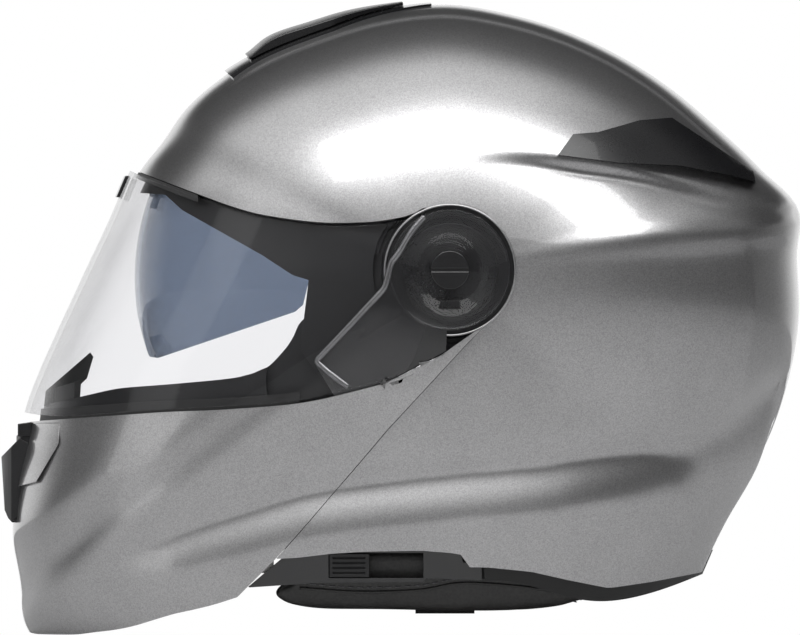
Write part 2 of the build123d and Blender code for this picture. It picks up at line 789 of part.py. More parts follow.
def left_lens_pivot():
    """Bracket on the shell's inside with the pin that the sun visor turns on."""
    inner = lens_half_width - lens_wall - pin_overreach
    outer = lens_boss_outer_y + fit_gap
    pin = drum(lens_x, lens_z, lens_pin_radius, -outer, -inner)
    plate = drum(lens_x, lens_z, lens_boss_radius + lens_pivot_rim,
                 cup_wall + fit_gap - cup_floor_y, -outer)
    return one(pin + plate)


# Impact liner, comfort pads, neck roll and edge trim
trim_proud = 1.4
trim_depth = 6.0
neck_depth = trim_depth + fit_gap
liner_depth = 36.0
liner_gap = 0.8
liner_overlap = 2.0
liner_tuck = frame_tuck + liner_overlap
liner_brow_gap = 4.0
lens_pocket_room = 14.0
lens_pocket_gap = 2.5
lens_pocket_low_reach = 2.0
lens_pocket_low_angle = -30
lens_pocket_high_angle = 80
lens_boss_room = 4.0
lens_side_room = 7.0
pad_gap = 0.9
liner_high_run = shifted(brow_shares, 0.0, liner_tuck)
inner_liner_high_run = shifted(brow_shares[1:4], 0.0, liner_brow_gap)
liner_outline = [
    liner_high_run, [liner_high_run[-1], (hinge_x_share, 0.72)],
    [(hinge_x_share, 0.72), (0.158, 0.60)], [(0.158, 0.60), (0.140, 0.462)],
    [(0.140, 0.462), (0.024, 0.302)], [(0.024, 0.302), (-0.036, 0.212)],
    [(-0.036, 0.212), (-0.080, 0.152)], [(-0.080, 0.152), (0.36, 0.152)],
    [(0.36, 0.152), (0.70, 0.30)], [(0.70, 0.30), (0.70, 1.20)],
    [(0.70, 1.20), (-0.361, 1.20)],
]
inner_liner_outline = [
    inner_liner_high_run, [inner_liner_high_run[-1], (-0.130, 0.610)],
    [(-0.130, 0.610), (-0.098, 0.560)], [(-0.098, 0.560), (-0.105, 0.440)],
    [(-0.105, 0.440), (-0.060, 0.370)], [(-0.060, 0.370), (-0.060, 0.330)],
    [(-0.060, 0.330), (-0.140, 0.200)], [(-0.140, 0.200), (-0.150, 0.152)],
    [(-0.150, 0.152), (0.36, 0.152)], [(0.36, 0.152), (0.70, 0.30)],
    [(0.70, 0.30), (0.70, 1.20)], [(0.70, 1.20), (-0.361, 1.20)],
]


strap_wall = 1.8
strap_width = 22.0
strap_x = 20.0
strap_y_shares = (0.741935, 0.629032, 0.241935)
strap_z_shares = (0.222621, 0.104130, 0.044883)
strap_top_y, strap_knee_y, strap_low_y = [share * half_width for share in strap_y_shares]
strap_top_z, strap_knee_z, strap_low_z = [share * helmet_height for share in strap_z_shares]
strap_gap = 0.5


def strap_path(grow):
    """The left strap's band in front view, thickened by grow, pushed along X."""
    half = strap_wall / 2 + grow
    spots = [(strap_top_y, strap_top_z), (strap_knee_y, strap_knee_z), (strap_low_y, strap_low_z)]
    edges = []
    for shift in (half, -half):
        line = []
        for (y, z), (ny, nz) in zip(spots, ((1, 0), (0.8, -0.6), (0.1, -1))):
            line.append(Vector(0, -(y + shift * ny), z + shift * nz))
        edges.append(line)
    outer = Edge.make_three_point_arc(*edges[0])
    inner = Edge.make_three_point_arc(*reversed(edges[1]))
    wire = Wire([outer, Edge.make_line(edges[0][-1], edges[1][-1]), inner,
                 Edge.make_line(edges[1][0], edges[0][0])])
    x = strap_x - strap_width / 2 - grow
    face = Face(wire).translate(Vector(x, 0, 0))
    return Solid.extrude(face, Vector(strap_width + 2 * grow, 0, 0))


def liner_piece(start, end):
    """Foam between two angles: a thin outer layer and the thick layer inside it."""
    inside = skin_wall(start, end, frame_depth + frame_wall + fit_gap, liner_depth, exact=True)
    inside = one(inside & through(inner_liner_outline))
    outside = skin_wall(start, end, shell_wall + liner_gap,
                        frame_depth + frame_wall + liner_overlap, exact=True)
    outside = one(outside & through(liner_outline))
    liner = one(inside + outside)
    pocket = lens_body(lens_pocket_room, -lens_wall / 2 - lens_pocket_gap,
                       lens_pocket_low_reach, lens_pocket_low_angle, lens_pocket_high_angle)
    liner = one(liner - pocket)
    for side in (-1, 1):
        low, high = sorted((side * (cup_floor_y - cup_wall - fit_gap), side * half_width))
        liner = one(liner - drum(hinge_x, hinge_z, pocket_radius + cup_wall + fit_gap, low, high))
        low, high = sorted((side * (lens_half_width - lens_side_room), side * half_width))
        liner = one(liner - drum(lens_x, lens_z, lens_boss_radius + lens_boss_room, low, high))
    slot = strap_path(strap_gap) + anchor_drum(strap_gap)
    return one(liner - intake_slot() - slot - opposite(slot))


liner_front_split = 102.0
liner_rear_split = 198.0
liner_split_gap = 0.25


def impact_liner_front():
    return liner_piece(12, liner_front_split)


def impact_liner_crown():
    return liner_piece(liner_front_split + liner_split_gap, liner_rear_split)


def impact_liner_rear():
    return liner_piece(liner_rear_split + liner_split_gap, 306)


pad_wall = 8.0
crown_pad_half = 66.0
crown_pad_x_shares = (-0.17, 1.0)
crown_pad_z_shares = (0.505, 1.0)


def crown_pad():
    wall = skin_wall(12, 306, liner_depth + pad_gap, liner_depth + pad_wall)
    return one(wall & slab(crown_pad_x_shares, crown_pad_half, crown_pad_z_shares))


cheek_wall = 20.0
cheek_reach = 8.0
cheek_inner_y = 30.0
cheek_outline = corners([
    (-0.090, 0.490), (0.020, 0.520), (0.150, 0.500), (0.190, 0.400), (0.170, 0.160),
    (0.080, 0.075), (-0.110, 0.075), (-0.150, 0.160), (-0.120, 0.330),
])


def left_cheek_pad():
    wall = skin_wall(-160, 20, liner_depth + fit_gap, liner_depth + cheek_wall, 0.0, cheek_reach)
    pad = one(wall & side_prism(cheek_outline, -half_width, -cheek_inner_y))
    return one(pad - strap_path(strap_gap))


neck_wall = 22.0
neck_low_run_shares = [
    (-0.171, 0.064), (-0.142, 0.044), (-0.037, 0.038), (0.063, 0.035), (0.151, 0.035),
    (0.201, 0.041), (0.234, 0.054),
]
neck_outline = [
    neck_low_run_shares, [neck_low_run_shares[-1], (0.330, 0.080)],
    [(0.330, 0.080), (0.375, 0.112)], [(0.375, 0.112), (0.352, 0.149)],
    [(0.352, 0.149), (-0.080, 0.149)], [(-0.080, 0.149), neck_low_run_shares[0]],
]


def neck_roll():
    wall = skin_wall(-160, -40, neck_depth, neck_depth + neck_wall, 0.0, far_reach)
    roll = one(wall & through(neck_outline))
    slot = strap_path(strap_gap)
    return one(roll - slot - opposite(slot))


trim_low_run_shares = [
    (0.392, 0.101), (0.338, 0.074), (0.298, 0.059), (0.262, 0.052), (0.235, 0.053),
    (0.178, 0.071), (0.107, 0.083),
]
trim_high_run = shifted(hem_rear_shares, 0.0, -fit_gap)
trim_outline = [
    trim_high_run, [trim_high_run[-1], (0.403, 0.137)], [(0.403, 0.137), (0.425, 0.130)],
    [(0.425, 0.130), (0.425, 0.112)], [(0.425, 0.112), trim_low_run_shares[0]],
    trim_low_run_shares, [trim_low_run_shares[-1], trim_high_run[0]],
]


def edge_trim():
    wall = skin_wall(-152, -80, -trim_proud, trim_depth, 0.0, far_reach)
    return one(wall & through(trim_outline))


rail_proud = 0.3
rail_depth = trim_depth
rail_outline = corners([
    (-0.190, 0.0745), (-0.144, 0.1235), (-0.082, 0.1335), (0.028, 0.1385), (0.076, 0.1335),
    (0.080, 0.113), (0.1035, 0.112), (0.1035, 0.085), (0.080, 0.086), (0.033, 0.088),
    (0.031, 0.082), (-0.097, 0.081), (-0.188, 0.0735),
])
slot_x_shares = (-0.089, 0.030)
slot_z_shares = (0.0885, 0.128)
slider_gap = 0.4
slider_proud = 0.8
slider_depth = 2.4
slider_x_share = -0.038
groove_count = 4
groove_width = 0.8
groove_depth = 1.0
groove_inset = 1.8


def slot_block(low, high):
    x0, z0 = spot((slot_x_shares[0], slot_z_shares[0]))
    x1, z1 = spot((slot_x_shares[1], slot_z_shares[1]))
    return block(x0, x1, low, high, z0, z1)


def left_side_rail(with_slot):
    wall = skin_wall(-112, -44, rail_proud, rail_depth, 0.0, far_reach)
    rail = one(wall & side_prism(rail_outline, -half_width - overrun, 0.0))
    if with_slot:
        rail = one(rail - slot_block(-half_width - overrun, 0.0))
    return rail


def sun_visor_slider():
    wall = skin_wall(-96, -56, -slider_proud, slider_depth, 0.0, far_reach)
    x0, z0 = spot((slot_x_shares[0], slot_z_shares[0]))
    x1, z1 = spot((slider_x_share, slot_z_shares[1]))
    keep = block(x0 + slider_gap, x1, -half_width - overrun, 0.0, z0 + slider_gap, z1 - slider_gap)
    slider = one(wall & keep)
    layer = skin_wall(-96, -56, -2 * slider_proud, groove_depth - slider_proud, 0.0, far_reach)
    for i in range(groove_count):
        z = z0 + (z1 - z0) * (i + 1) / (groove_count + 1)
        groove = block(x0 + groove_inset, x1 - groove_inset, -half_width - overrun, 0.0,
                       z - groove_width / 2, z + groove_width / 2)
        slider = slider - (groove & layer)
    return one(slider)


# Chin strap: two webbings, their anchors, and a ratchet buckle
anchor_radius = 7.0
anchor_wall = 2.0
buckle_pin_radius = 0.9
buckle_pin_play = 0.05
buckle_lever_wall = 2.0
buckle_half = 15.0
buckle_width = 26.0
buckle_height = 7.0
buckle_wall = 1.5
pin_y = -23.0
pin_rise = 2.7
lever_side_gap = 0.4
lever_front_share = 0.35
lever_eye_share = 0.7
base_end_share = 0.4
tunnel_start_share = -1.7
tongue_width = 11.0
tongue_low = 1.0
tongue_high = 0.4
tongue_end_share = -0.7
grip_start_share = 0.9
grip_low = 2.4
grip_high = 1.6


def left_strap():
    return strap_path(0.0)


def anchor_drum(grow):
    outer = strap_top_y + strap_wall / 2
    return drum(strap_x, strap_top_z - anchor_radius, anchor_radius + grow,
                -outer - anchor_wall - fit_gap - grow, grow - outer - fit_gap)


def left_anchor():
    """Riveted plate that holds a strap's upper end inside the helmet."""
    return anchor_drum(0.0)


def buckle_box(x_inset, y0, y1, z0, z1):
    """Block centred on the strap, between two sides set in by x_inset."""
    half = buckle_width / 2 - x_inset
    return block(strap_x - half, strap_x + half, y0, y1, strap_low_z + z0, strap_low_z + z1)


def buckle_shaft(radius, x_inset):
    plane = Plane(origin=(strap_x - buckle_width / 2 + x_inset, pin_y, strap_low_z + pin_rise),
                  z_dir=(1, 0, 0))
    return Solid.make_cylinder(radius, buckle_width - 2 * x_inset, plane)


def buckle_base():
    top = buckle_height / 2
    body = buckle_box(0.0, fit_gap - strap_low_y, base_end_share * buckle_half, -top, top)
    tunnel = buckle_box(buckle_wall, tunnel_start_share * buckle_half, buckle_half,
                        buckle_wall - top, buckle_height)
    return one(body - tunnel - buckle_shaft(buckle_pin_radius + buckle_pin_play, 0.0))


def buckle_pin():
    return buckle_shaft(buckle_pin_radius, pin_play)


def buckle_tongue():
    tongue = buckle_box((buckle_width - tongue_width) / 2, tongue_end_share * buckle_half,
                        strap_low_y - fit_gap, -tongue_low, tongue_high)
    grip = buckle_box((buckle_width - strap_width) / 2, grip_start_share * buckle_half,
                      strap_low_y - fit_gap, -grip_low, grip_high)
    return one(tongue + grip)


def buckle_lever():
    low = pin_rise - buckle_lever_wall / 2
    eye_radius = buckle_lever_wall * lever_eye_share
    side = buckle_wall + lever_side_gap
    plate = buckle_box(side, pin_y - eye_radius, lever_front_share * buckle_half, low,
                       low + buckle_lever_wall)
    eye = buckle_shaft(eye_radius, side)
    return one(plate + eye - buckle_shaft(buckle_pin_radius + buckle_pin_play, 0.0))


# Chin bar latch: striker pins on the eyeport frame, hooks and button on the chin bar
striker_share = (-0.176, 0.1356)
striker_x, striker_z = spot(striker_share)
striker_radius = 2.5
striker_flange_radius = 4.5
striker_flange_wall = 2.6
hook_wall = 3.0
hook_width_share = 0.725806
hook_inner_y = hook_width_share * half_width
hook_outer_y = hook_inner_y + hook_wall
striker_gap = 0.2
striker_outer_y = hook_outer_y + striker_gap + striker_flange_wall
hook_pivot_share = (-0.228, 0.128)
hook_x, hook_z = spot(hook_pivot_share)
hook_eye_radius = 4.5
hook_bore_radius = 2.0
hook_arm_wall = 4.1
hook_arm_drop = 4.7
hook_finger_gap = 2.9
hook_finger_wall = 3.5
hook_finger_drop = 4.8
hook_boss_radius = 4.0
hook_washer_wall = 1.8
hook_boss_overlap = 2.9
hook_pin_y = hook_outer_y + fit_gap + hook_washer_wall
hook_boss_y = hook_pin_y + hook_boss_overlap


def left_striker():
    """Pin on the eyeport frame that the chin bar's hook catches."""
    pin = drum(striker_x, striker_z, striker_radius, -striker_outer_y,
               pin_overreach - hook_inner_y)
    flange = drum(striker_x, striker_z, striker_flange_radius, -striker_outer_y,
                  striker_flange_wall - striker_outer_y)
    return one(pin + flange)


def left_hook():
    """Finger behind the striker pin; it is below the pin when released."""
    low = hook_z - hook_arm_drop - hook_arm_wall
    finger_x = striker_x + hook_finger_gap
    eye = drum(hook_x, hook_z, hook_eye_radius, -hook_outer_y, -hook_inner_y)
    neck = block(hook_x - hook_eye_radius, hook_x + hook_eye_radius, -hook_outer_y,
                 -hook_inner_y, low, hook_z)
    arm = block(hook_x, finger_x + hook_finger_wall, -hook_outer_y, -hook_inner_y, low,
                low + hook_arm_wall)
    finger = block(finger_x, finger_x + hook_finger_wall, -hook_outer_y, -hook_inner_y, low,
                   striker_z - hook_finger_drop)
    hook = one(eye + neck + arm + finger)
    return one(hook - drum(hook_x, hook_z, hook_bore_radius + pin_play, -hook_outer_y,
                           -hook_inner_y))


def left_hook_pin():
    shaft = drum(hook_x, hook_z, hook_bore_radius, -hook_pin_y, pin_overreach - hook_inner_y)
    washer = drum(hook_x, hook_z, hook_boss_radius, -hook_pin_y, -hook_outer_y - fit_gap)
    return one(shaft + washer)


button_x_share = -0.437
button_z_share = 0.025
button_length = 14.0
button_half_width = 13.0
button_height = 8.0
button_gap = 0.5
button_travel = 4.0


def button_block(grow):
    x = button_x_share * helmet_length
    z = button_z_share * helmet_height
    drop = button_travel if grow else 0.0
    return block(x - grow, x + button_length + grow, -button_half_width - grow,
                 button_half_width + grow, z - grow - drop, z + button_height + grow)


def release_button():
    return button_block(0.0)


curtain_gap = 0.8
curtain_depth = chin_liner_depth + curtain_gap
curtain_wall = 2.0
curtain_outline = corners([
    (-0.60, 0.100), (-0.300, 0.100), (-0.285, 0.045), (-0.400, 0.012), (-0.440, 0.010),
    (-0.60, 0.010),
])


def chin_curtain():
    """Soft flap under the chin, along the chin bar's lower edge."""
    wall = skin_wall(-84, -6, curtain_depth, curtain_depth + curtain_wall, 0.0, far_reach)
    return one((wall & through(curtain_outline)) - button_block(button_gap))


single_parts = {
    "outer_shell": outer_shell,
    "eyeport_frame": eyeport_frame,
    "brow_strip": brow_strip,
    "impact_liner_front": impact_liner_front,
    "impact_liner_crown": impact_liner_crown,
    "impact_liner_rear": impact_liner_rear,
    "crown_pad": crown_pad,
    "neck_roll": neck_roll,
    "edge_trim": edge_trim,
    "crown_vent_housing": crown_vent_housing,
    "crown_vent_cover": crown_vent_cover,
    "sun_visor": sun_visor,
    "sun_visor_slider": sun_visor_slider,
    "chin_bar_shell": chin_bar_shell,
    "chin_liner": chin_liner,
    "chin_bar_gasket": chin_bar_gasket,
    "breath_deflector": breath_deflector,
    "chin_curtain": chin_curtain,
    "chin_vent_cover": chin_vent_cover,
    "chin_vent_nose": chin_vent_nose,
    "chin_vent_shutter": chin_vent_shutter,
    "release_button": release_button,
    "face_shield": face_shield,
    "shield_tab": shield_tab,
    "buckle_base": buckle_base,
    "buckle_tongue": buckle_tongue,
    "buckle_lever": buckle_lever,
    "buckle_pin": buckle_pin,
}
paired_parts = {
    "rear_vent": left_rear_vent,
    "cheek_pad": left_cheek_pad,
    "hinge_base_plate": left_base_plate,
    "hinge_screws": left_hinge_screws,
    "pivot_cap": left_cap,
    "hinge_arm": left_hinge_arm,
    "shield_ratchet": left_ratchet,
    "release_lever": left_release_lever,
    "sun_visor_pivot": left_lens_pivot,
    "chin_strap": left_strap,
    "strap_anchor": left_anchor,
    "striker_pin": left_striker,
    "latch_hook": left_hook,
    "hook_pin": left_hook_pin,
}

for name, make in single_parts.items():
    save(name, make())
for name, make in paired_parts.items():
    left = make()
    save(name + "_left", left)
    save(name + "_right", opposite(left))
save("side_rail_left", left_side_rail(True))
save("side_rail_right", opposite(left_side_rail(False)))
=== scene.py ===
import json
import math

import bmesh
import bpy
import numpy as np
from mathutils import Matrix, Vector
from mathutils.bvhtree import BVHTree

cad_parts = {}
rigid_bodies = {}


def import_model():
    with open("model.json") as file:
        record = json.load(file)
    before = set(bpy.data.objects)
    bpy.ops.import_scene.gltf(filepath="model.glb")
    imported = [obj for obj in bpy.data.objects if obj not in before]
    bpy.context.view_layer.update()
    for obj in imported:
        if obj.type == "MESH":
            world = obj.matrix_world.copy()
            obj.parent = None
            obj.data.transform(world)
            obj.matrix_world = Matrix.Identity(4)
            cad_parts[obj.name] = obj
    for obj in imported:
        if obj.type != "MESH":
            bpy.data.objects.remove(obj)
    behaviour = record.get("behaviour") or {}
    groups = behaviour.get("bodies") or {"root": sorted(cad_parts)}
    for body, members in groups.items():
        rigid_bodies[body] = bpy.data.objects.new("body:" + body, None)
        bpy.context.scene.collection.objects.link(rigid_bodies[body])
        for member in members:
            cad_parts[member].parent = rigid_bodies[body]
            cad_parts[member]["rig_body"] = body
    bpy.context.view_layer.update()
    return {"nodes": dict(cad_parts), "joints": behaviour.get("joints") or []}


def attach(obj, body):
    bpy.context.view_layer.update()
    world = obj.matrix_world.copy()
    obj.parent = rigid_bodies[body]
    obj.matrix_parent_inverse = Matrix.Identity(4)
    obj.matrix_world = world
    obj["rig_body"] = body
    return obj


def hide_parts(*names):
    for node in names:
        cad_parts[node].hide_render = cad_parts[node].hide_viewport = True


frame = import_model()
cad = frame["nodes"]

# The outer shell is one moulded skin, painted in silver metallic under clear coat. It is made
# as half a grid laid over the helmet's skin between its own edges, given its character lines,
# mirrored across the middle, and then given its wall and rounded edges.
PIXEL = 0.00044
PHOTO_MIDDLE = 399.5
PHOTO_FLOOR = 634
LENGTH = 0.3507
HALF_WIDTH = 0.124
ROUNDNESS = 0.15
HEART = Vector((0.02, 0, 0.15))
HINGE = Vector(next(j for j in frame["joints"] if j["name"] == "chin_bar_lift")["pos_m"])
POD_RISE = 0.004
POD_INNER = 0.032
POD_OUTER = 0.095
MIRROR_MERGE = 0.00002
TURN_STEPS = 96
SKIN_SHARES = [
    (-160, 0.4474), (-144, 0.4577), (-137, 0.4671), (-130, 0.4904), (-120, 0.5418),
    (-110, 0.6045), (-100, 0.6615), (-90, 0.6986), (-75, 0.7157), (-60, 0.7129),
    (-48, 0.7015), (-40, 0.6929), (-35.7, 0.6630), (-30.8, 0.6379), (-26, 0.6017),
    (-22, 0.5731), (-18, 0.5483), (-14, 0.5204), (-10, 0.4942), (-5, 0.4671),
    (0, 0.4460), (5, 0.4300), (10, 0.4192), (17.6, 0.4086), (24, 0.3949),
    (31, 0.3886), (38, 0.3778), (46, 0.3636), (60, 0.3422), (75, 0.3325),
    (90, 0.3296), (103, 0.3262), (115, 0.3293), (127, 0.3379), (140, 0.3541),
    (152, 0.3764), (162, 0.4072), (170, 0.4434), (178, 0.4357), (188, 0.4420),
]
STAND = 0.004
STAND_SHARES = [
    (-180, 1.0), (-60, 1.0), (0, 1.0), (17.6, 1.0), (31, 2.5), (45, 4.4), (60, 6.5),
    (75, 7.6), (90, 8.0), (150, 4.0),
]


def follow(table, angle):
    """Smooth curve through a table of (angle, value) that repeats every turn."""
    first = table[0][0]
    angle = first + (angle - first) % 360
    run = [(a - 360, v) for a, v in table[-2:]] + table + [(a + 360, v) for a, v in table[:3]]
    index = 1
    while not run[index][0] <= angle <= run[index + 1][0]:
        index += 1
    (x0, y0), (x1, y1), (x2, y2), (x3, y3) = run[index - 1:index + 3]
    step = x2 - x1
    s = (angle - x1) / step
    rise_1 = step * (y2 - y0) / (x2 - x0)
    rise_2 = step * (y3 - y1) / (x3 - x1)
    start = (2 * s**3 - 3 * s**2 + 1) * y1 + (s**3 - 2 * s**2 + s) * rise_1
    return start + (3 * s**2 - 2 * s**3) * y2 + (s**3 - s**2) * rise_2


EVERY = np.arange(-180.0, 180.5, 0.5)
SHELL_RADII = np.array([follow(SKIN_SHARES, a) * LENGTH for a in EVERY])
STAND_LIFTS = np.array([follow(STAND_SHARES, a) * STAND for a in EVERY])
ACROSS = np.linspace(0, math.pi / 2, 1500)
REACHES = np.cos(ACROSS) * (1 + ROUNDNESS * np.sin(ACROSS) ** 2)


def radius(theta, stand=0.0):
    """Distance from the hinge to a skin in the middle plane, at an angle."""
    turned = (theta + 180) % 360 - 180
    return np.interp(turned, EVERY, SHELL_RADII) + stand * np.interp(turned, EVERY, STAND_LIFTS)


def skin(theta, across, depth=0.0, rise=0.0, flare=0.0, stand=0.0):
    """Points of a skin: theta is the angle about the hinge, up from straight ahead."""
    tip = radius(theta, stand) - depth
    reach = tip * np.cos(across) * (1 + ROUNDNESS * np.sin(across) ** 2)
    s = np.clip((reach - POD_INNER) / (POD_OUTER - POD_INNER), 0, 1)
    lift = (rise - flare) * (1 + np.cos(math.pi * s)) / 2
    wide = HALF_WIDTH + flare + lift - depth
    turn = np.radians(theta)
    x = HINGE.x - reach * np.cos(turn)
    z = HINGE.z + reach * np.sin(turn)
    return np.stack([x, -wide * np.sin(across), z], -1)


def skin_at(chart, depth=0.0, rise=0.0, flare=0.0, stand=0.0):
    """Points of a skin from its chart, where the hinge is the middle and the crown the rim."""
    across = math.pi / 2 - np.hypot(chart[..., 0], chart[..., 1])
    return skin(np.degrees(np.arctan2(chart[..., 1], chart[..., 0])), across, depth, rise, flare, stand)


def finely(points, smooth=True):
    """A close-set line through points, curved or with corners."""
    p = np.array(points, float)
    if smooth and len(p) > 2:
        q = np.vstack([2 * p[0] - p[1], p, 2 * p[-1] - p[-2]])
        t = np.arange(0, 1, 0.1)[:, None]
        runs = [0.5 * (2 * b + (c - a) * t + (2 * a - 5 * b + 4 * c - d) * t**2
                       + (3 * b - a - 3 * c + d) * t**3)
                for a, b, c, d in zip(q, q[1:], q[2:], q[3:])]
        p = np.vstack(runs + [q[-2:-1]])
    steps = np.linspace(0, len(p) - 1, 2500)
    return np.stack([np.interp(steps, np.arange(len(p)), p[:, k]) for k in (0, 1)], -1)


def on_skin(pixels, count, stand=0.0, depth=0.0, smooth=True):
    """A side-view photo line as chart places on the left half of a skin, evenly spread."""
    px = finely(pixels, smooth)
    x = (px[:, 0] - PHOTO_MIDDLE) * PIXEL
    z = (PHOTO_FLOOR - px[:, 1]) * PIXEL
    turn = np.arctan2(z - HINGE.z, HINGE.x - x)
    reach = np.hypot(x - HINGE.x, z - HINGE.z)
    share = reach / (radius(np.degrees(turn), stand) - depth)
    first = max(int(np.argmax(share < 1)) - 1, 0)
    away = math.pi / 2 - np.interp(share, REACHES[::-1], ACROSS[::-1])
    chart = np.stack([away * np.cos(turn), away * np.sin(turn)], -1)[first:]
    spots = skin_at(chart, depth, 0.0, 0.0, stand)
    along = np.concatenate([[0], np.cumsum(np.linalg.norm(np.diff(spots, axis=0), axis=1))])
    steps = np.linspace(0, along[-1], count)
    return np.stack([np.interp(steps, along, chart[:, k]) for k in (0, 1)], -1)


def on_crown(start, end, count):
    """Chart places along the middle of a skin, between two angles about the hinge."""
    turn = np.radians(np.linspace(start, end, count))
    return np.stack([np.cos(turn), np.sin(turn)], -1) * math.pi / 2


def angle_of(place):
    """The angle about the hinge of one chart place, in degrees."""
    return math.degrees(math.atan2(place[1], place[0]))


def fill_between(front, back, outer, inner, rounds=6):
    """Chart places inside four edges that share corners, eased a little towards evenness."""
    rows, columns = len(outer), len(front)
    u = np.linspace(0, 1, rows)[:, None, None]
    v = np.linspace(0, 1, columns)[None, :, None]
    place = ((1 - u) * front[None] + u * back[None] + (1 - v) * outer[:, None]
             + v * inner[:, None] - (1 - u) * (1 - v) * front[0] - (1 - u) * v * front[-1]
             - u * (1 - v) * back[0] - u * v * back[-1])
    for _ in range(rounds):
        place[1:-1, 1:-1] = (place[:-2, 1:-1] + place[2:, 1:-1] + place[1:-1, :-2]
                             + place[1:-1, 2:]) / 4
    return place


def laid_grid(points):
    """A bmesh grid whose corners, row by row, are moved to the given points."""
    rows, columns = points.shape[:2]
    bm = bmesh.new()
    bmesh.ops.create_grid(bm, x_segments=rows - 1, y_segments=columns - 1, size=1)
    for vert in bm.verts:
        i = round((vert.co.x + 1) / 2 * (rows - 1))
        j = round((vert.co.y + 1) / 2 * (columns - 1))
        vert.co = points[i, j]
    return bm


def both_halves(bm):
    """Mirrors the left half to the right and joins the two along the middle."""
    twin = bmesh.ops.duplicate(bm, geom=bm.verts[:] + bm.edges[:] + bm.faces[:])
    verts = [e for e in twin["geom"] if isinstance(e, bmesh.types.BMVert)]
    bmesh.ops.scale(bm, vec=(1, -1, 1), verts=verts)
    bmesh.ops.reverse_faces(bm, faces=[e for e in twin["geom"] if isinstance(e, bmesh.types.BMFace)])
    bmesh.ops.remove_doubles(bm, verts=bm.verts[:], dist=MIRROR_MERGE)
    return bm


def outwards(bm, centre):
    """Turns an open skin so that its faces look away from the centre."""
    total = sum((f.calc_center_median() - centre).dot(f.normal) * f.calc_area() for f in bm.faces)
    if total < 0:
        bmesh.ops.reverse_faces(bm, faces=bm.faces[:])
    return bm


def piece(name, bm, material, body, stands_for=()):
    """Finished object on its body, with its material and the CAD nodes that it stands for."""
    mesh = bpy.data.meshes.new(name)
    bm.to_mesh(mesh)
    bm.free()
    mesh.materials.append(material)
    mesh.shade_smooth()
    obj = bpy.data.objects.new(name, mesh)
    bpy.context.scene.collection.objects.link(obj)
    if stands_for:
        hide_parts(*stands_for)
    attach(obj, body)
    return obj


def walled(obj, wall, edge, offset=-1.0):
    """Gives a skin its wall inwards and rounds its edges."""
    solid = obj.modifiers.new("wall", "SOLIDIFY")
    solid.thickness = wall
    solid.offset = offset
    solid.use_even_offset = False
    bevel = obj.modifiers.new("edge", "BEVEL")
    bevel.width = edge
    bevel.segments = 2
    bevel.limit_method = "ANGLE"
    bevel.angle_limit = math.radians(50)
    bevel.harden_normals = False
    weigh = obj.modifiers.new("shade", "WEIGHTED_NORMAL")
    weigh.keep_sharp = True
    return obj


def line_gap(pixels, x, y):
    """Signed distance in pixels from a side-view line, positive below it, and the share along."""
    line = finely(pixels)[::42]
    best = np.full(x.shape, 1e9)
    signed = np.zeros(x.shape)
    share = np.zeros(x.shape)
    for k in range(len(line) - 1):
        (ax, ay), (bx, by) = line[k], line[k + 1]
        dx, dy = bx - ax, by - ay
        size = math.hypot(dx, dy)
        t = np.clip(((x - ax) * dx + (y - ay) * dy) / size**2, 0, 1)
        gap = np.hypot(x - ax - t * dx, y - ay - t * dy)
        side = np.sign((y - ay) * dx - (x - ax) * dy)
        near = gap < best
        best = np.where(near, gap, best)
        signed = np.where(near, gap * side, signed)
        share = np.where(near, (k + t) / (len(line) - 1), share)
    return signed, share


def ease(value, low, high):
    """A smooth step from 0 at low to 1 at high."""
    s = np.clip((value - low) / (high - low), 0, 1)
    return s * s * (3 - 2 * s)


SHOULDER_PX = [(440, 152), (470, 152), (510, 151), (558, 155), (630, 166), (676, 178), (720, 191),
               (760, 196), (800, 208)]
WAIST_PX = [(470, 236), (516, 238), (566, 244), (670, 234), (758, 229), (800, 221)]
LOW_PX = [(40, 592), (67, 578), (107, 559), (187, 530), (241, 514), (295, 498), (335, 490),
          (380, 484), (460, 475), (541, 468), (567, 463), (648, 452), (683, 450), (701, 443),
          (742, 420), (775, 392)]
CHIN_ARC_PX = [(62, 600), (68, 578), (80, 535), (96, 500), (129, 458), (161, 423), (178, 405)]
BACK_PX = [(742, 225), (752, 300), (744, 370), (726, 450)]
CHANNEL_DEPTH = 0.0042
LOW_FLARE = 0.0052
LOW_VALLEY = 0.0018
CHIN_FOLD = 0.0006
BACK_RIDGE = 0.0014
STRIP_HALF = 0.040
STRIP_RISE = 0.0012
SIDE_FADE = (0.012, 0.035)
CHANNEL_FADE_PX = (455, 600)
LOW_FADE_PX = (55, 190)


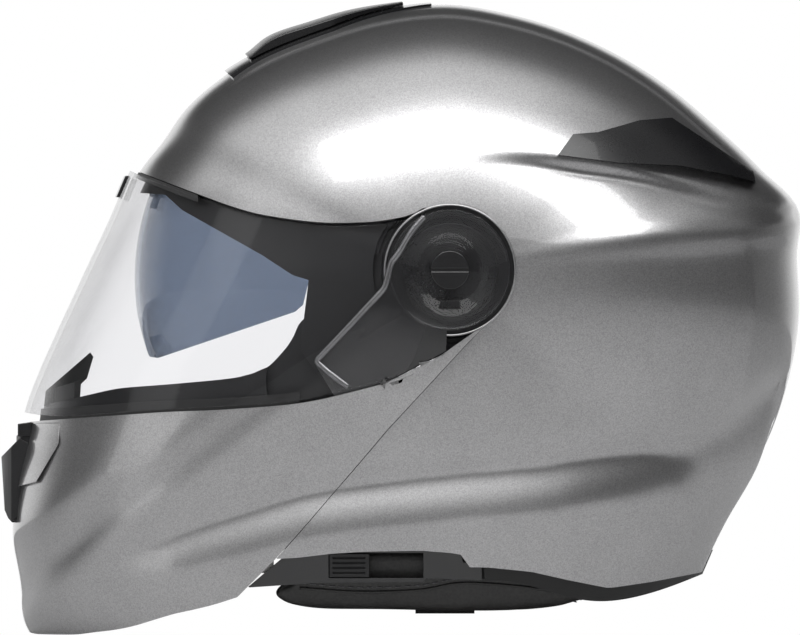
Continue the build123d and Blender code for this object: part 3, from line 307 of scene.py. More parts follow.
def relief(points):
    """How far the character lines lift the skin outwards at these points of it."""
    x = points[..., 0] / PIXEL + PHOTO_MIDDLE
    y = PHOTO_FLOOR - points[..., 2] / PIXEL
    out = np.abs(points[..., 1])
    side = ease(out, *SIDE_FADE)
    above, _ = line_gap(SHOULDER_PX, x, y)
    below, _ = line_gap(WAIST_PX, x, y)
    across = np.clip(above / np.maximum(above - below, 1e-3), 0, 1)
    channel = np.where((above > 0) & (below < 0), 1 - across, 0)
    channel = np.where(above > 0, channel, 0) * ease(above, 0, 13)
    lift = -CHANNEL_DEPTH * channel * ease(x, *CHANNEL_FADE_PX) * ease(out, 0.004, 0.02)
    low, _ = line_gap(LOW_PX, x, y)
    lift += LOW_FLARE * ease(low, -3, 46) * ease(x, *LOW_FADE_PX) * side
    lift -= LOW_VALLEY * np.exp(-(low / 16) ** 2) * ease(x, *LOW_FADE_PX) * side
    fold, _ = line_gap(CHIN_ARC_PX, x, y)
    lift -= CHIN_FOLD * np.exp(-(fold / 20) ** 2) * side * ease(-low, -10, 30)
    back, along = line_gap(BACK_PX, x, y)
    lift += BACK_RIDGE * np.exp(-np.abs(back) / 14) * ease(along, 0, 0.3) * ease(-along, -1, -0.7)
    crown = ease(-y, -210, -150) * ease(x, 215, 260)
    lift += STRIP_RISE * (1 - ease(out, STRIP_HALF - 0.002, STRIP_HALF + 0.003)) * crown
    return lift


def dressed_skin(places, rise=0.0, flare=0.0, stand=0.0, lines=1.0, inset=0.0):
    """A skin at the given chart places, with the character lines laid into it."""
    plain = skin_at(places, inset, rise, flare, stand)
    return skin_at(places, inset - lines * relief(plain), rise, flare, stand)


BROW_PX = [(136, 170.6), (145, 174), (198, 194), (236, 207.6), (268, 215.6), (321, 222.3), (370, 221.8),
           (400, 217.5), (412, 214), (424.2, 209.2)]
PARTING_PX = [(485, 325.8), (472, 339), (388, 430), (339, 488), (280, 553)]
HEM_PX = [(722, 547), (708, 552), (701, 562), (648, 573), (605, 580), (567, 573), (530, 565),
          (486, 561), (467, 561), (463, 549), (450, 547), (422, 545), (366, 546), (334, 548),
          (300, 552), (280, 553)]
POCKET_RADIUS = 0.0290
POCKET_START = 67
POCKET_END = 237.9
SHELL_WALL = 0.003
SHELL_EDGE = 0.0007
SHELL_ROWS = 206
SHELL_COLUMNS = 104
CROWN_ROWS = 142


def metallic_paint():
    """Silver flake under clear coat: fine sparkle, faint mottling and a barely rippled coat."""
    mat = bpy.data.materials.new("silver_metallic_paint")
    mat.use_nodes = True
    nodes, links = mat.node_tree.nodes, mat.node_tree.links
    shader = nodes["Principled BSDF"]
    shader.inputs["Metallic"].default_value = 0.85
    shader.inputs["Roughness"].default_value = 0.30
    shader.inputs["Coat Weight"].default_value = 1.0
    shader.inputs["Coat Roughness"].default_value = 0.025
    shader.inputs["Coat IOR"].default_value = 1.5
    where = nodes.new("ShaderNodeTexCoord")
    flake = nodes.new("ShaderNodeTexVoronoi")
    flake.inputs["Scale"].default_value = 2600
    cloud = nodes.new("ShaderNodeTexNoise")
    cloud.inputs["Scale"].default_value = 45
    cloud.inputs["Detail"].default_value = 3
    links.new(where.outputs["Object"], flake.inputs["Vector"])
    links.new(where.outputs["Object"], cloud.inputs["Vector"])
    tone = nodes.new("ShaderNodeValToRGB")
    tone.color_ramp.elements[0].color = (0.30, 0.298, 0.302, 1)
    tone.color_ramp.elements[1].color = (0.52, 0.517, 0.522, 1)
    mix = nodes.new("ShaderNodeMath")
    mix.operation = "MULTIPLY_ADD"
    mix.inputs[1].default_value = 3.0
    links.new(flake.outputs["Color"], mix.inputs[0])
    links.new(cloud.outputs["Fac"], mix.inputs[2])
    scale = nodes.new("ShaderNodeMapRange")
    scale.inputs["From Min"].default_value = 0.3
    scale.inputs["From Max"].default_value = 3.6
    links.new(mix.outputs[0], scale.inputs["Value"])
    links.new(scale.outputs["Result"], tone.inputs["Fac"])
    links.new(tone.outputs["Color"], shader.inputs["Base Color"])
    bump = nodes.new("ShaderNodeBump")
    bump.inputs["Strength"].default_value = 0.1
    bump.inputs["Distance"].default_value = 0.0001
    links.new(flake.outputs["Color"], bump.inputs["Height"])
    links.new(bump.outputs["Normal"], shader.inputs["Normal"])
    return mat


def surface(name, dark, light, rough, grain, height, pattern="noise", stretch=(1, 1, 1), metal=0.0,
            coat=0.0, sheen=0.0, spread=0.08):
    """A material whose tone, roughness and bump all follow one fine pattern and a broad mottle."""
    mat = bpy.data.materials.new(name)
    mat.use_nodes = True
    nodes, links = mat.node_tree.nodes, mat.node_tree.links
    shader = nodes["Principled BSDF"]
    shader.inputs["Metallic"].default_value = metal
    shader.inputs["Coat Weight"].default_value = coat
    shader.inputs["Coat Roughness"].default_value = 0.05
    shader.inputs["Sheen Weight"].default_value = sheen
    where = nodes.new("ShaderNodeTexCoord")
    turn = nodes.new("ShaderNodeMapping")
    turn.inputs["Scale"].default_value = stretch
    links.new(where.outputs["Object"], turn.inputs["Vector"])
    broad = nodes.new("ShaderNodeTexNoise")
    broad.inputs["Scale"].default_value = 60
    broad.inputs["Detail"].default_value = 5
    links.new(where.outputs["Object"], broad.inputs["Vector"])
    if pattern == "noise":
        fine = nodes.new("ShaderNodeTexNoise")
        fine.inputs["Detail"].default_value = 6
        level = fine.outputs["Fac"]
    elif pattern == "cells":
        fine = nodes.new("ShaderNodeTexVoronoi")
        level = fine.outputs["Distance"]
    else:
        fine = nodes.new("ShaderNodeTexWave")
        fine.inputs["Distortion"].default_value = 0.6
        level = fine.outputs["Fac"]
    fine.inputs["Scale"].default_value = grain
    links.new(turn.outputs["Vector"], fine.inputs["Vector"])
    if pattern == "weave":
        cross = nodes.new("ShaderNodeTexWave")
        cross.bands_direction = "Z"
        cross.inputs["Scale"].default_value = grain
        cross.inputs["Distortion"].default_value = 0.6
        links.new(turn.outputs["Vector"], cross.inputs["Vector"])
        over = nodes.new("ShaderNodeMath")
        over.operation = "MULTIPLY"
        links.new(level, over.inputs[0])
        links.new(cross.outputs["Fac"], over.inputs[1])
        level = over.outputs[0]
    blend = nodes.new("ShaderNodeMath")
    blend.operation = "MULTIPLY_ADD"
    blend.inputs[1].default_value = 0.5
    half = nodes.new("ShaderNodeMath")
    half.operation = "MULTIPLY"
    half.inputs[1].default_value = 0.5
    links.new(broad.outputs["Fac"], half.inputs[0])
    links.new(level, blend.inputs[0])
    links.new(half.outputs[0], blend.inputs[2])
    tone = nodes.new("ShaderNodeValToRGB")
    tone.color_ramp.elements[0].position = 0.2
    tone.color_ramp.elements[1].position = 0.75
    tone.color_ramp.elements[0].color = (*dark, 1)
    tone.color_ramp.elements[1].color = (*light, 1)
    links.new(blend.outputs[0], tone.inputs["Fac"])
    links.new(tone.outputs["Color"], shader.inputs["Base Color"])
    wear = nodes.new("ShaderNodeMapRange")
    wear.inputs["To Min"].default_value = max(rough - spread, 0.02)
    wear.inputs["To Max"].default_value = rough + spread
    links.new(blend.outputs[0], wear.inputs["Value"])
    links.new(wear.outputs["Result"], shader.inputs["Roughness"])
    bump = nodes.new("ShaderNodeBump")
    bump.inputs["Strength"].default_value = 0.7
    bump.inputs["Distance"].default_value = height
    links.new(level, bump.inputs["Height"])
    links.new(bump.outputs["Normal"], shader.inputs["Normal"])
    return mat


gloss_black = surface("gloss_black_plastic", (0.006, 0.006, 0.007), (0.013, 0.013, 0.014), 0.16, 900,
                      0.000001, coat=0.7, spread=0.05)
matt_black = surface("matt_black_plastic", (0.005, 0.005, 0.006), (0.014, 0.014, 0.015), 0.42, 1300,
                     0.000004)


def turned(profile, side):
    """A body turned about the hinge axis: profile is (radius, distance out from the middle)."""
    bm = bmesh.new()
    spots = [bm.verts.new((HINGE.x + reach, side * out, HINGE.z)) for reach, out in profile]
    line = [bm.edges.new((a, b)) for a, b in zip(spots, spots[1:] + spots[:1])]
    bmesh.ops.spin(bm, geom=spots + line, cent=HINGE, axis=(0, 1, 0), angle=2 * math.pi,
                   steps=TURN_STEPS, use_merge=True)
    bmesh.ops.recalc_face_normals(bm, faces=bm.faces[:])
    return bm


paint = metallic_paint()
arc = np.radians(np.linspace(POCKET_START, POCKET_END, SHELL_ROWS))
pocket_px = np.stack([450 - POCKET_RADIUS / PIXEL * np.cos(arc),
                      270 - POCKET_RADIUS / PIXEL * np.sin(arc)], -1)
front = on_skin(BROW_PX, SHELL_COLUMNS)
inner = on_skin(pocket_px, SHELL_ROWS, smooth=False)
back = on_skin(PARTING_PX[::-1], SHELL_COLUMNS, smooth=False)
hem = on_skin(HEM_PX, SHELL_ROWS - CROWN_ROWS + 1, smooth=False)
crown = on_crown(angle_of(front[0]), angle_of(hem[0]) + 360, CROWN_ROWS)
outer = np.vstack([crown, hem[1:]])
front[0], hem[0] = crown[0], crown[-1]
inner[0], inner[-1] = front[-1], back[-1]
back[0] = outer[-1]
places = fill_between(front, back, outer, inner)
bm = laid_grid(dressed_skin(places))
both_halves(bm)
outwards(bm, HEART)
shell = piece("outer_shell_skin", bm, paint, "shell", ["outer_shell"])
walled(shell, SHELL_WALL, SHELL_EDGE)

# The chin bar is moulded and painted like the shell. It meets the shell along the parting line,
# carries the face shield's seal on its top edge, and its two ends reach back to the hinges.
CHIN_TOP_PX = [(20.8, 422), (62, 419), (150, 413), (230, 409), (300, 403), (353, 391.5),
               (398, 379), (426, 366), (454, 346), (476, 331), (483, 327.5)]
CHIN_SEAM_PX = [(483, 327.5), (470.8, 339.4), (386.8, 430.2), (337.8, 488.3), (279, 553), (242, 590)]
CHIN_LOW_PX = [(19, 624), (27, 630), (40, 633.6), (74, 633.6), (100, 629.4), (120, 625.5), (140, 620),
               (160, 613), (180, 606.5), (200, 602), (220, 597), (242, 590)]
CHIN_WALL = 0.0028
CHIN_STAND = 0.0004
CHIN_ROWS = 120
CHIN_COLUMNS = 140
CHIN_EASING = 60

top = on_skin(CHIN_TOP_PX, CHIN_COLUMNS)
low = on_skin(CHIN_LOW_PX, CHIN_COLUMNS)
seam = on_skin(CHIN_SEAM_PX, CHIN_ROWS, smooth=False)
middle = on_crown(angle_of(top[0]), angle_of(low[0]), CHIN_ROWS)
top[0], low[0] = middle[0], middle[-1]
seam[0], seam[-1] = top[-1], low[-1]
places = fill_between(top, low, middle, seam, rounds=CHIN_EASING)
bm = laid_grid(dressed_skin(places, rise=POD_RISE, inset=-CHIN_STAND))
both_halves(bm)
outwards(bm, HEART)
chin = piece("chin_bar_skin", bm, paint, "chin_bar", ["chin_bar_shell"])
walled(chin, CHIN_WALL, SHELL_EDGE)

# The face shield is a clear polycarbonate sheet, bent in one curve and hard coated. Its two
# ends are flat round hubs that turn on the hinge posts over the ratchets.
SHIELD_LOW_PX = [(20, 411.5), (62, 416), (150, 410), (230, 406), (300, 400), (353, 388.5),
                 (390, 378), (410, 366), (427, 325)]
SHIELD_HIGH_PX = [(131, 171), (145, 177.5), (198, 197.4), (236, 211), (268, 219), (321, 225.6),
                  (370, 225.2), (400, 221), (424, 216)]
SHIELD_FLARE = 0.0026
SHIELD_WALL = 0.0022
SHIELD_ROWS = 70
SHIELD_COLUMNS = 90
HUB_RADIUS = 0.0264
HUB_BORE = 0.0064


def clear_plastic(name, tint, mirror, scuff):
    """Hard coated plastic: tinted and see-through, a mirror at a shallow angle, faintly scuffed."""
    mat = bpy.data.materials.new(name)
    mat.use_nodes = True
    nodes, links = mat.node_tree.nodes, mat.node_tree.links
    nodes.remove(nodes["Principled BSDF"])
    through = nodes.new("ShaderNodeBsdfTransparent")
    through.inputs["Color"].default_value = (*tint, 1)
    shine = nodes.new("ShaderNodeBsdfGlossy")
    shine.inputs["Color"].default_value = (mirror, mirror, mirror, 1)
    where = nodes.new("ShaderNodeTexCoord")
    haze = nodes.new("ShaderNodeTexNoise")
    haze.inputs["Scale"].default_value = 55
    haze.inputs["Detail"].default_value = 2
    links.new(where.outputs["Object"], haze.inputs["Vector"])
    rough = nodes.new("ShaderNodeMapRange")
    rough.inputs["To Min"].default_value = 0.01
    rough.inputs["To Max"].default_value = scuff
    links.new(haze.outputs["Fac"], rough.inputs["Value"])
    links.new(rough.outputs["Result"], shine.inputs["Roughness"])
    ripple = nodes.new("ShaderNodeBump")
    ripple.inputs["Strength"].default_value = 0.1
    ripple.inputs["Distance"].default_value = 0.00001
    links.new(haze.outputs["Fac"], ripple.inputs["Height"])
    facing = nodes.new("ShaderNodeLayerWeight")
    steep = nodes.new("ShaderNodeMath")
    steep.operation = "POWER"
    steep.inputs[1].default_value = 5
    share = nodes.new("ShaderNodeMapRange")
    share.inputs["To Min"].default_value = 0.014
    share.inputs["To Max"].default_value = 0.85
    for taker in (shine, facing):
        links.new(ripple.outputs["Normal"], taker.inputs["Normal"])
    links.new(facing.outputs["Facing"], steep.inputs[0])
    links.new(steep.outputs[0], share.inputs["Value"])
    mix = nodes.new("ShaderNodeMixShader")
    links.new(share.outputs["Result"], mix.inputs["Fac"])
    links.new(through.outputs["BSDF"], mix.inputs[1])
    links.new(shine.outputs["BSDF"], mix.inputs[2])
    links.new(mix.outputs["Shader"], nodes["Material Output"].inputs["Surface"])
    return mat


clear = clear_plastic("clear_polycarbonate", (0.975, 0.975, 0.98), 0.9, 0.05)
top = on_skin(SHIELD_HIGH_PX, SHIELD_COLUMNS, stand=1.0)
low = on_skin(SHIELD_LOW_PX, SHIELD_COLUMNS, stand=1.0)
turn = np.radians(np.linspace(angle_of(top[-1]), angle_of(low[-1]), SHIELD_ROWS))
hub_px = np.stack([450 - HUB_RADIUS / PIXEL * np.cos(turn), 270 - HUB_RADIUS / PIXEL * np.sin(turn)], -1)
hub = on_skin(hub_px, SHIELD_ROWS, stand=1.0)
middle = on_crown(angle_of(top[0]), angle_of(low[0]), SHIELD_ROWS)
top[0], low[0] = middle[0], middle[-1]
hub[0], hub[-1] = top[-1], low[-1]
places = fill_between(top, low, middle, hub)
bm = laid_grid(dressed_skin(places, POD_RISE, SHIELD_FLARE, 1.0, lines=0.0))
both_halves(bm)
outwards(bm, HEART)
shield = piece("face_shield_sheet", bm, clear, "shield", ["face_shield"])
walled(shield, SHIELD_WALL, 0.0005)

# The face shield's hubs are round discs of the same clear plastic, with a raised rim, that cover
# the mechanism and turn with the shield on each side.
for side, word in ((-1, "left"), (1, "right")):
    lathe = [(HUB_BORE + 0.0024, 0.1253), (HUB_BORE + 0.0024, 0.1270), (0.0248, 0.1270),
             (0.0256, 0.1274), (HUB_RADIUS + 0.0004, 0.1274), (HUB_RADIUS + 0.0004, 0.1256),
             (0.0246, 0.1253)]
    bm = turned(lathe, side)
    piece(f"shield_hub_{word}", bm, clear, "shield")

# Hinge pockets: each hinge sits in a round cup let into the shell, with a rolled silver lip, a
# dark groove inside it, and a floor behind the base plate.
for side, word in ((-1, "left"), (1, "right")):
    lip = [(0.0292, 0.1209), (0.0292, 0.1236), (0.0289, 0.1241), (0.0285, 0.1241), (0.0282, 0.1236),
           (0.0282, 0.1209)]
    piece(f"pocket_lip_{word}", turned(lip, side), paint, "shell")
    cup = [(0.0003, 0.1095), (0.0302, 0.1095), (0.0302, 0.1160), (0.0298, 0.1176), (0.0290, 0.1186),
           (0.0286, 0.1180), (0.0286, 0.1121), (0.0003, 0.1121)]
    piece(f"pocket_cup_{word}", turned(cup, side), matt_black, "shell")

# The hinge arms carry the chin bar. Each is a gloss black plate with a raised, rounded rim that
# runs from the brow down round the eyeport's corner and back along the chin bar. The rim is coloured
# a metallic grey, lighter than the black plate: a painted highlight along its bevel.
RIM_PX = [(424, 215.5), (412, 229), (397, 254.5), (390.5, 262), (384, 288.5), (350, 325), (314.5, 362.5),
          (331, 376), (347, 388)]
RIM_DEPTH = 0.0024
# Metallic grey, lighter than the gloss black plate: a painted highlight on the rim.
rim_painted_highlight = surface("rim_plastic_painted_highlight", (0.16, 0.16, 0.165), (0.30, 0.30, 0.305), 0.2, 900, 0.000001,
                    metal=0.8, coat=0.5)
RIM_HALF = 0.0015
RIM_STEPS = 160


def rope(points, reach):
    """A round bead along points in space."""
    curve = bpy.data.curves.new("bead", "CURVE")
    curve.dimensions = "3D"
    curve.bevel_depth = reach
    curve.bevel_resolution = 3
    curve.use_fill_caps = True
    line = curve.splines.new("POLY")
    line.points.add(len(points) - 1)
    for spot, place in zip(line.points, points):
        spot.co = (*place, 1)
    carrier = bpy.data.objects.new("bead", curve)
    bpy.context.scene.collection.objects.link(carrier)
    bpy.context.view_layer.update()
    mesh = bpy.data.meshes.new_from_object(
        carrier.evaluated_get(bpy.context.evaluated_depsgraph_get()))
    bpy.data.objects.remove(carrier)
    bm = bmesh.new()
    bm.from_mesh(mesh)
    bmesh.ops.remove_doubles(bm, verts=bm.verts[:], dist=0.000005)
    bmesh.ops.recalc_face_normals(bm, faces=bm.faces[:])
    return bm


for side, word in ((-1, "left"), (1, "right")):
    chart = on_skin(RIM_PX, RIM_STEPS, smooth=False)
    for _ in range(6):
        chart[1:-1] = (chart[:-2] + chart[1:-1] + chart[2:]) / 3
    line = skin_at(chart, RIM_DEPTH, POD_RISE)
    line[:, 1] *= -side
    bm = rope(line, RIM_HALF)
    piece(f"hinge_arm_rim_{word}", bm, rim_painted_highlight, "chin_bar")

# Soft black seals close the eyeport's lower corners and the views past the sun visor's pivots.
# Each is a thin strip laid between a high and a low line, at its own depth under the skin.
SEALS = [
    ("visor_felt", "shell", 0.0086, [(352, 232), (397, 228)], [(352, 300), (397, 300)]),
    ("corner_seal", "shell", 0.0094,
     [(240, 377), (265, 369), (283, 352), (293, 338), (301, 322), (317, 314), (397, 296), (478, 312)],
     [(240, 410), (270, 407), (300, 404), (353, 393), (398, 381), (426, 368), (454, 348), (478, 331)]),
    ("chin_band", "chin_bar", 0.0062,
     [(31, 406), (60, 402), (88, 395.5), (112, 390), (130, 387.5), (180, 383.5), (240, 377), (268, 367)],
     [(31, 424), (60, 421.5), (88, 420), (112, 418), (130, 416), (180, 413.5), (240, 410), (268, 407)]),
]
for name, body, depth, high, down in SEALS:
    for side, word in ((-1, "left"), (1, "right")):
        top, low = [on_skin(line, 50, depth=depth) for line in (high, down)]
        points = skin_at(np.linspace(top, low, 24), depth)
        points[..., 1] *= -side
        bm = laid_grid(points)
        outwards(bm, HEART)
        seal = piece(f"{name}_{word}", bm, matt_black, body)
        walled(seal, 0.0008, 0.0002)

# The chin vent's throat is the dark bar between the nose and the shutter above it, bent to
# follow the chin.
THROAT_SIZE = (0.0082, 0.038, 0.0034)
THROAT_PLACE = (-0.1645, 0, 0.0858)
THROAT_BEND = 6
bm = bmesh.new()
bmesh.ops.create_cube(bm, size=1)
bmesh.ops.subdivide_edges(bm, edges=bm.edges[:], cuts=6, use_grid_fill=True)
bmesh.ops.scale(bm, vec=THROAT_SIZE, verts=bm.verts[:])
bmesh.ops.translate(bm, vec=THROAT_PLACE, verts=bm.verts[:])
for vert in bm.verts:
    vert.co.x += THROAT_BEND * vert.co.y**2
bmesh.ops.recalc_face_normals(bm, faces=bm.faces[:])
throat = piece("chin_vent_throat", bm, matt_black, "chin_bar")
throat.modifiers.new("edge", "BEVEL").width = 0.0004

# Moulded and metal pieces whose CAD shape already is the real one: the facets are joined, the
# faces smoothed, and each edge gets its small moulded radius and its own worked surface.
CREASE = 32
satin_black = surface("satin_black_plastic", (0.005, 0.005, 0.006), (0.011, 0.011, 0.012), 0.28, 1100,
                      0.000003, coat=0.25)
rubber = surface("black_rubber", (0.006, 0.006, 0.006), (0.015, 0.015, 0.015), 0.6, 1800, 0.000006,
                 sheen=0.1)
zinc = surface("zinc_plated_steel", (0.38, 0.38, 0.38), (0.62, 0.61, 0.59), 0.32, 500, 0.00001,
               stretch=(1, 6, 1), metal=1.0, spread=0.12)
red = surface("red_plastic", (0.36, 0.010, 0.008), (0.50, 0.020, 0.015), 0.33, 900, 0.00001, coat=0.3)
beads = surface("foam_beads", (0.022, 0.022, 0.024), (0.060, 0.060, 0.064), 0.8, 330, 0.0004, "cells")
smoke = clear_plastic("blue_smoke_polycarbonate", (0.64, 0.675, 0.73), 0.9, 0.06)


def moulding(node, material, edge=0.0002):
    """The CAD node's own shape with joined facets, smooth faces and rounded edges."""
    bm = bmesh.new()
    bm.from_mesh(cad[node].data)
    bmesh.ops.remove_doubles(bm, verts=bm.verts[:], dist=0.000004)
    bmesh.ops.dissolve_limit(bm, angle_limit=math.radians(0.6), verts=bm.verts[:],
                             edges=bm.edges[:], delimit={"NORMAL"})
    bmesh.ops.recalc_face_normals(bm, faces=bm.faces[:])
    for side in bm.edges:
        side.smooth = not (side.is_manifold and side.calc_face_angle() > math.radians(CREASE))
    obj = piece(f"{node}_moulding", bm, material, cad[node]["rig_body"], [node])
    if edge:
        bevel = obj.modifiers.new("edge", "BEVEL")
        bevel.width = edge
        bevel.segments = 2
        bevel.limit_method = "ANGLE"
        bevel.angle_limit = math.radians(CREASE + 8)
        bevel.use_clamp_overlap = True
        weigh = obj.modifiers.new("shade", "WEIGHTED_NORMAL")
        weigh.keep_sharp = True
    return obj


for node in ("crown_vent_cover", "rear_vent_left", "rear_vent_right"):
    moulding(node, satin_black, edge=0.0004)
for node in ("crown_vent_housing", "side_rail_left", "side_rail_right", "shield_tab"):
    moulding(node, gloss_black, edge=0.0003)
for side in ("left", "right"):
    moulding(f"hinge_arm_{side}", gloss_black, edge=0.0002)
    moulding(f"pivot_cap_{side}", gloss_black)
    moulding(f"shield_ratchet_{side}", satin_black, edge=0.0001)
    moulding(f"release_lever_{side}", satin_black, edge=0.0001)
    moulding(f"hinge_base_plate_{side}", matt_black)
    moulding(f"sun_visor_pivot_{side}", matt_black)
    moulding(f"hinge_screws_{side}", zinc, edge=0.0001)
    moulding(f"striker_pin_{side}", zinc, edge=0.0001)
    moulding(f"latch_hook_{side}", zinc)
    moulding(f"hook_pin_{side}", zinc, edge=0.0001)
    moulding(f"strap_anchor_{side}", zinc)
for node in ("eyeport_frame", "chin_vent_nose", "sun_visor_slider", "buckle_base", "buckle_tongue"):
    moulding(node, matt_black)
for node in ("edge_trim", "chin_bar_gasket", "breath_deflector", "brow_strip"):
    moulding(node, rubber, edge=0.0003)
for node in ("release_button", "buckle_lever"):
    moulding(node, red, edge=0.0003)
for node in ("impact_liner_front", "impact_liner_crown", "impact_liner_rear", "chin_liner"):
    moulding(node, beads, edge=0.0)
moulding("buckle_pin", zinc, edge=0.0)
moulding("chin_vent_cover", paint, edge=0.0004)
moulding("chin_vent_shutter", gloss_black, edge=0.0003)
moulding("sun_visor", smoke, edge=0.0004)

# Comfort padding: the neck roll, cheek pads and crown pad are foam in sewn covers. Each starts
# inside its CAD shape and swells under pressure until its cover is tight; the neck roll and cheek pads
# are then sewn.
leatherette = surface("perforated_leatherette", (0.010, 0.010, 0.010), (0.030, 0.029, 0.028), 0.42,
                      700, 0.00012, "cells", coat=0.12)
cloth = surface("brushed_lining", (0.014, 0.014, 0.016), (0.050, 0.050, 0.055), 0.9, 420, 0.0002,
                "weave", sheen=0.6)
thread = surface("sewing_thread", (0.06, 0.06, 0.065), (0.15, 0.15, 0.16), 0.7, 2500, 0.00003, "weave",
                 sheen=0.3)
PAD_FRAMES = 16
PAD_PRESSURE = 4.0


def padding(node, name, material, slack, cap, voxel):
    """A cushion in its CAD solid's place: remeshed, drawn in by slack, and blown up to the cap."""
    obj = bpy.data.objects.new(name, cad[node].data.copy())
    bpy.context.scene.collection.objects.link(obj)
    remesh = obj.modifiers.new("remesh", "REMESH")
    remesh.mode = "VOXEL"
    remesh.voxel_size = voxel
    soften = obj.modifiers.new("soften", "SMOOTH")
    soften.factor = 0.6
    soften.iterations = 5
    shrink = obj.modifiers.new("slack", "DISPLACE")
    shrink.strength = -slack
    shrink.mid_level = 0
    bpy.context.view_layer.update()
    start = bpy.data.meshes.new_from_object(obj.evaluated_get(bpy.context.evaluated_depsgraph_get()))
    obj.modifiers.clear()
    obj.data = start
    rest = np.array([v.co[:] for v in start.vertices])
    ends = rest + 0.7 * cap * np.array([n.vector[:] for n in start.vertex_normals])
    sewn = obj.modifiers.new("cloth", "CLOTH")
    sewn.settings.use_pressure = True
    sewn.settings.uniform_pressure_force = PAD_PRESSURE
    sewn.settings.effector_weights.gravity = 0
    sewn.settings.quality = 4
    for step in range(1, PAD_FRAMES + 1):
        bpy.context.scene.frame_set(step)
    blown = obj.evaluated_get(bpy.context.evaluated_depsgraph_get()).to_mesh()
    ends = np.array([v.co[:] for v in blown.vertices])
    obj.modifiers.clear()
    bpy.context.scene.frame_set(1)
    moved = ends - rest
    far = np.linalg.norm(moved, axis=1, keepdims=True)
    ends = rest + moved * np.minimum(1, cap / np.maximum(far, 1e-9))
    for vert, place in zip(start.vertices, ends):
        vert.co = place
    start.materials.clear()
    start.materials.append(material)
    start.shade_smooth()
    finer = obj.modifiers.new("finer", "SUBSURF")
    finer.levels = finer.render_levels = 1
    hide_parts(node)
    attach(obj, cad[node]["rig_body"])
    return obj


neck_roll = padding("neck_roll", "neck_roll_cover", leatherette, 0.0016, 0.0018, 0.0042)
cheeks = [padding(f"cheek_pad_{side}", f"cheek_cushion_{side}", cloth, 0.0025, 0.0022, 0.005)
          for side in ("left", "right")]
padding("crown_pad", "crown_cushion", cloth, 0.0016, 0.0014, 0.005)

# Seams: on each side a corded seam runs along the neck roll and round the cheek pad's face, with
# a row of stitches beside it.
FROM_OUTSIDE = 0.3
FROM_MIDDLE = 0.0
SEAM_STAND = 0.2
STITCH_STAND = 0.5
SEAM_REACH = 0.0007
STITCH_REACH = 0.00028
STITCH_LENGTH = 0.0026
STITCH_PITCH = 0.0042
STITCH_SIDE = 0.0022
ROLL_SEAM_PX = [(300, 588), (360, 592), (420, 590), (466, 583), (541, 589), (583, 599)]
CHEEK_SEAM_PX = [(400, 330), (450, 345), (480, 400), (476, 480), (440, 560), (360, 565), (310, 540),
                 (300, 480), (312, 400), (340, 345), (400, 330)]


def sew(cushion, pixels, start, side, name):
    """Cording and stitches laid on a cushion where a side-view line meets it, seen from start."""
    cushion.data.update()
    tree = BVHTree.FromPolygons([v.co for v in cushion.data.vertices],
                                [f.vertices for f in cushion.data.polygons])
    marks = finely([((x - PHOTO_MIDDLE) * PIXEL, (PHOTO_FLOOR - y) * PIXEL) for x, y in pixels])
    step = np.concatenate([[0], np.cumsum(np.linalg.norm(np.diff(marks, axis=0), axis=1))])
    even = np.arange(0, step[-1], STITCH_PITCH / 3)
    marks = np.stack([np.interp(even, step, marks[:, 0]), np.interp(even, step, marks[:, 1])], -1)
    towards = Vector((0, side if start == FROM_MIDDLE else -side, 0))
    line, stitches = [], []
    for x, z in marks:
        place, normal, _, _ = tree.ray_cast(Vector((x, side * start, z)), towards)
        if place:
            line.append((place, normal))
    for i in range(1, len(line) - 1, 3):
        (place, normal), (beyond, _) = line[i], line[i + 1]
        along = (beyond - place).normalized()
        aside = normal.cross(along).normalized() * STITCH_SIDE
        beside = place + aside + normal * STITCH_REACH * STITCH_STAND
        stitches.append([beside - along * STITCH_LENGTH / 2, beside + along * STITCH_LENGTH / 2])
    cord = rope([place + normal * SEAM_REACH * SEAM_STAND for place, normal in line], SEAM_REACH)
    piece(f"{name}_piping", cord, leatherette, "shell")
    sewn = bmesh.new()
    for ends in stitches:
        stitch = rope(ends, STITCH_REACH)
        mesh = bpy.data.meshes.new("stitch")
        stitch.to_mesh(mesh)
        sewn.from_mesh(mesh)
        stitch.free()
        bpy.data.meshes.remove(mesh)
    piece(f"{name}_stitches", sewn, thread, "shell")


for side, word in ((-1, "left"), (1, "right")):
    sew(neck_roll, ROLL_SEAM_PX, FROM_OUTSIDE, side, f"neck_roll_{word}")
for side, cheek in zip((-1, 1), cheeks):
    sew(cheek, CHEEK_SEAM_PX, FROM_MIDDLE, side, cheek.name)

# Chin strap: woven webbing in one arc from each anchor down under the jaw to the buckle, with
# slightly thicker edges.
webbing = surface("woven_webbing", (0.008, 0.008, 0.009), (0.034, 0.034, 0.037), 0.75, 260, 0.00022,
                  "weave", stretch=(1, 1.7, 1.7), sheen=0.35)
STRAP_SPOTS = [(0.092, 0.062), (0.078, 0.029), (0.030, 0.0125)]
STRAP_X = 0.020
STRAP_WIDTH = 0.022
STRAP_WALL = 0.0018
STRAP_STEPS = 90
STRAP_COLUMNS = 13
SELVAGE = 0.0002


def arc_through(three, count):
    """Even points on the circle arc through three points, and the arc's outward directions."""
    (ax, ay), (bx, by), (cx, cy) = three
    d = 2 * (ax * (by - cy) + bx * (cy - ay) + cx * (ay - by))
    ux = ((ax**2 + ay**2) * (by - cy) + (bx**2 + by**2) * (cy - ay) + (cx**2 + cy**2) * (ay - by)) / d
    uy = ((ax**2 + ay**2) * (cx - bx) + (bx**2 + by**2) * (ax - cx) + (cx**2 + cy**2) * (bx - ax)) / d
    first, last = math.atan2(ay - uy, ax - ux), math.atan2(cy - uy, cx - ux)
    turn = np.linspace(first, last, count)
    away = np.stack([np.cos(turn), np.sin(turn)], -1)
    return np.array([ux, uy]) + math.hypot(ax - ux, ay - uy) * away, away


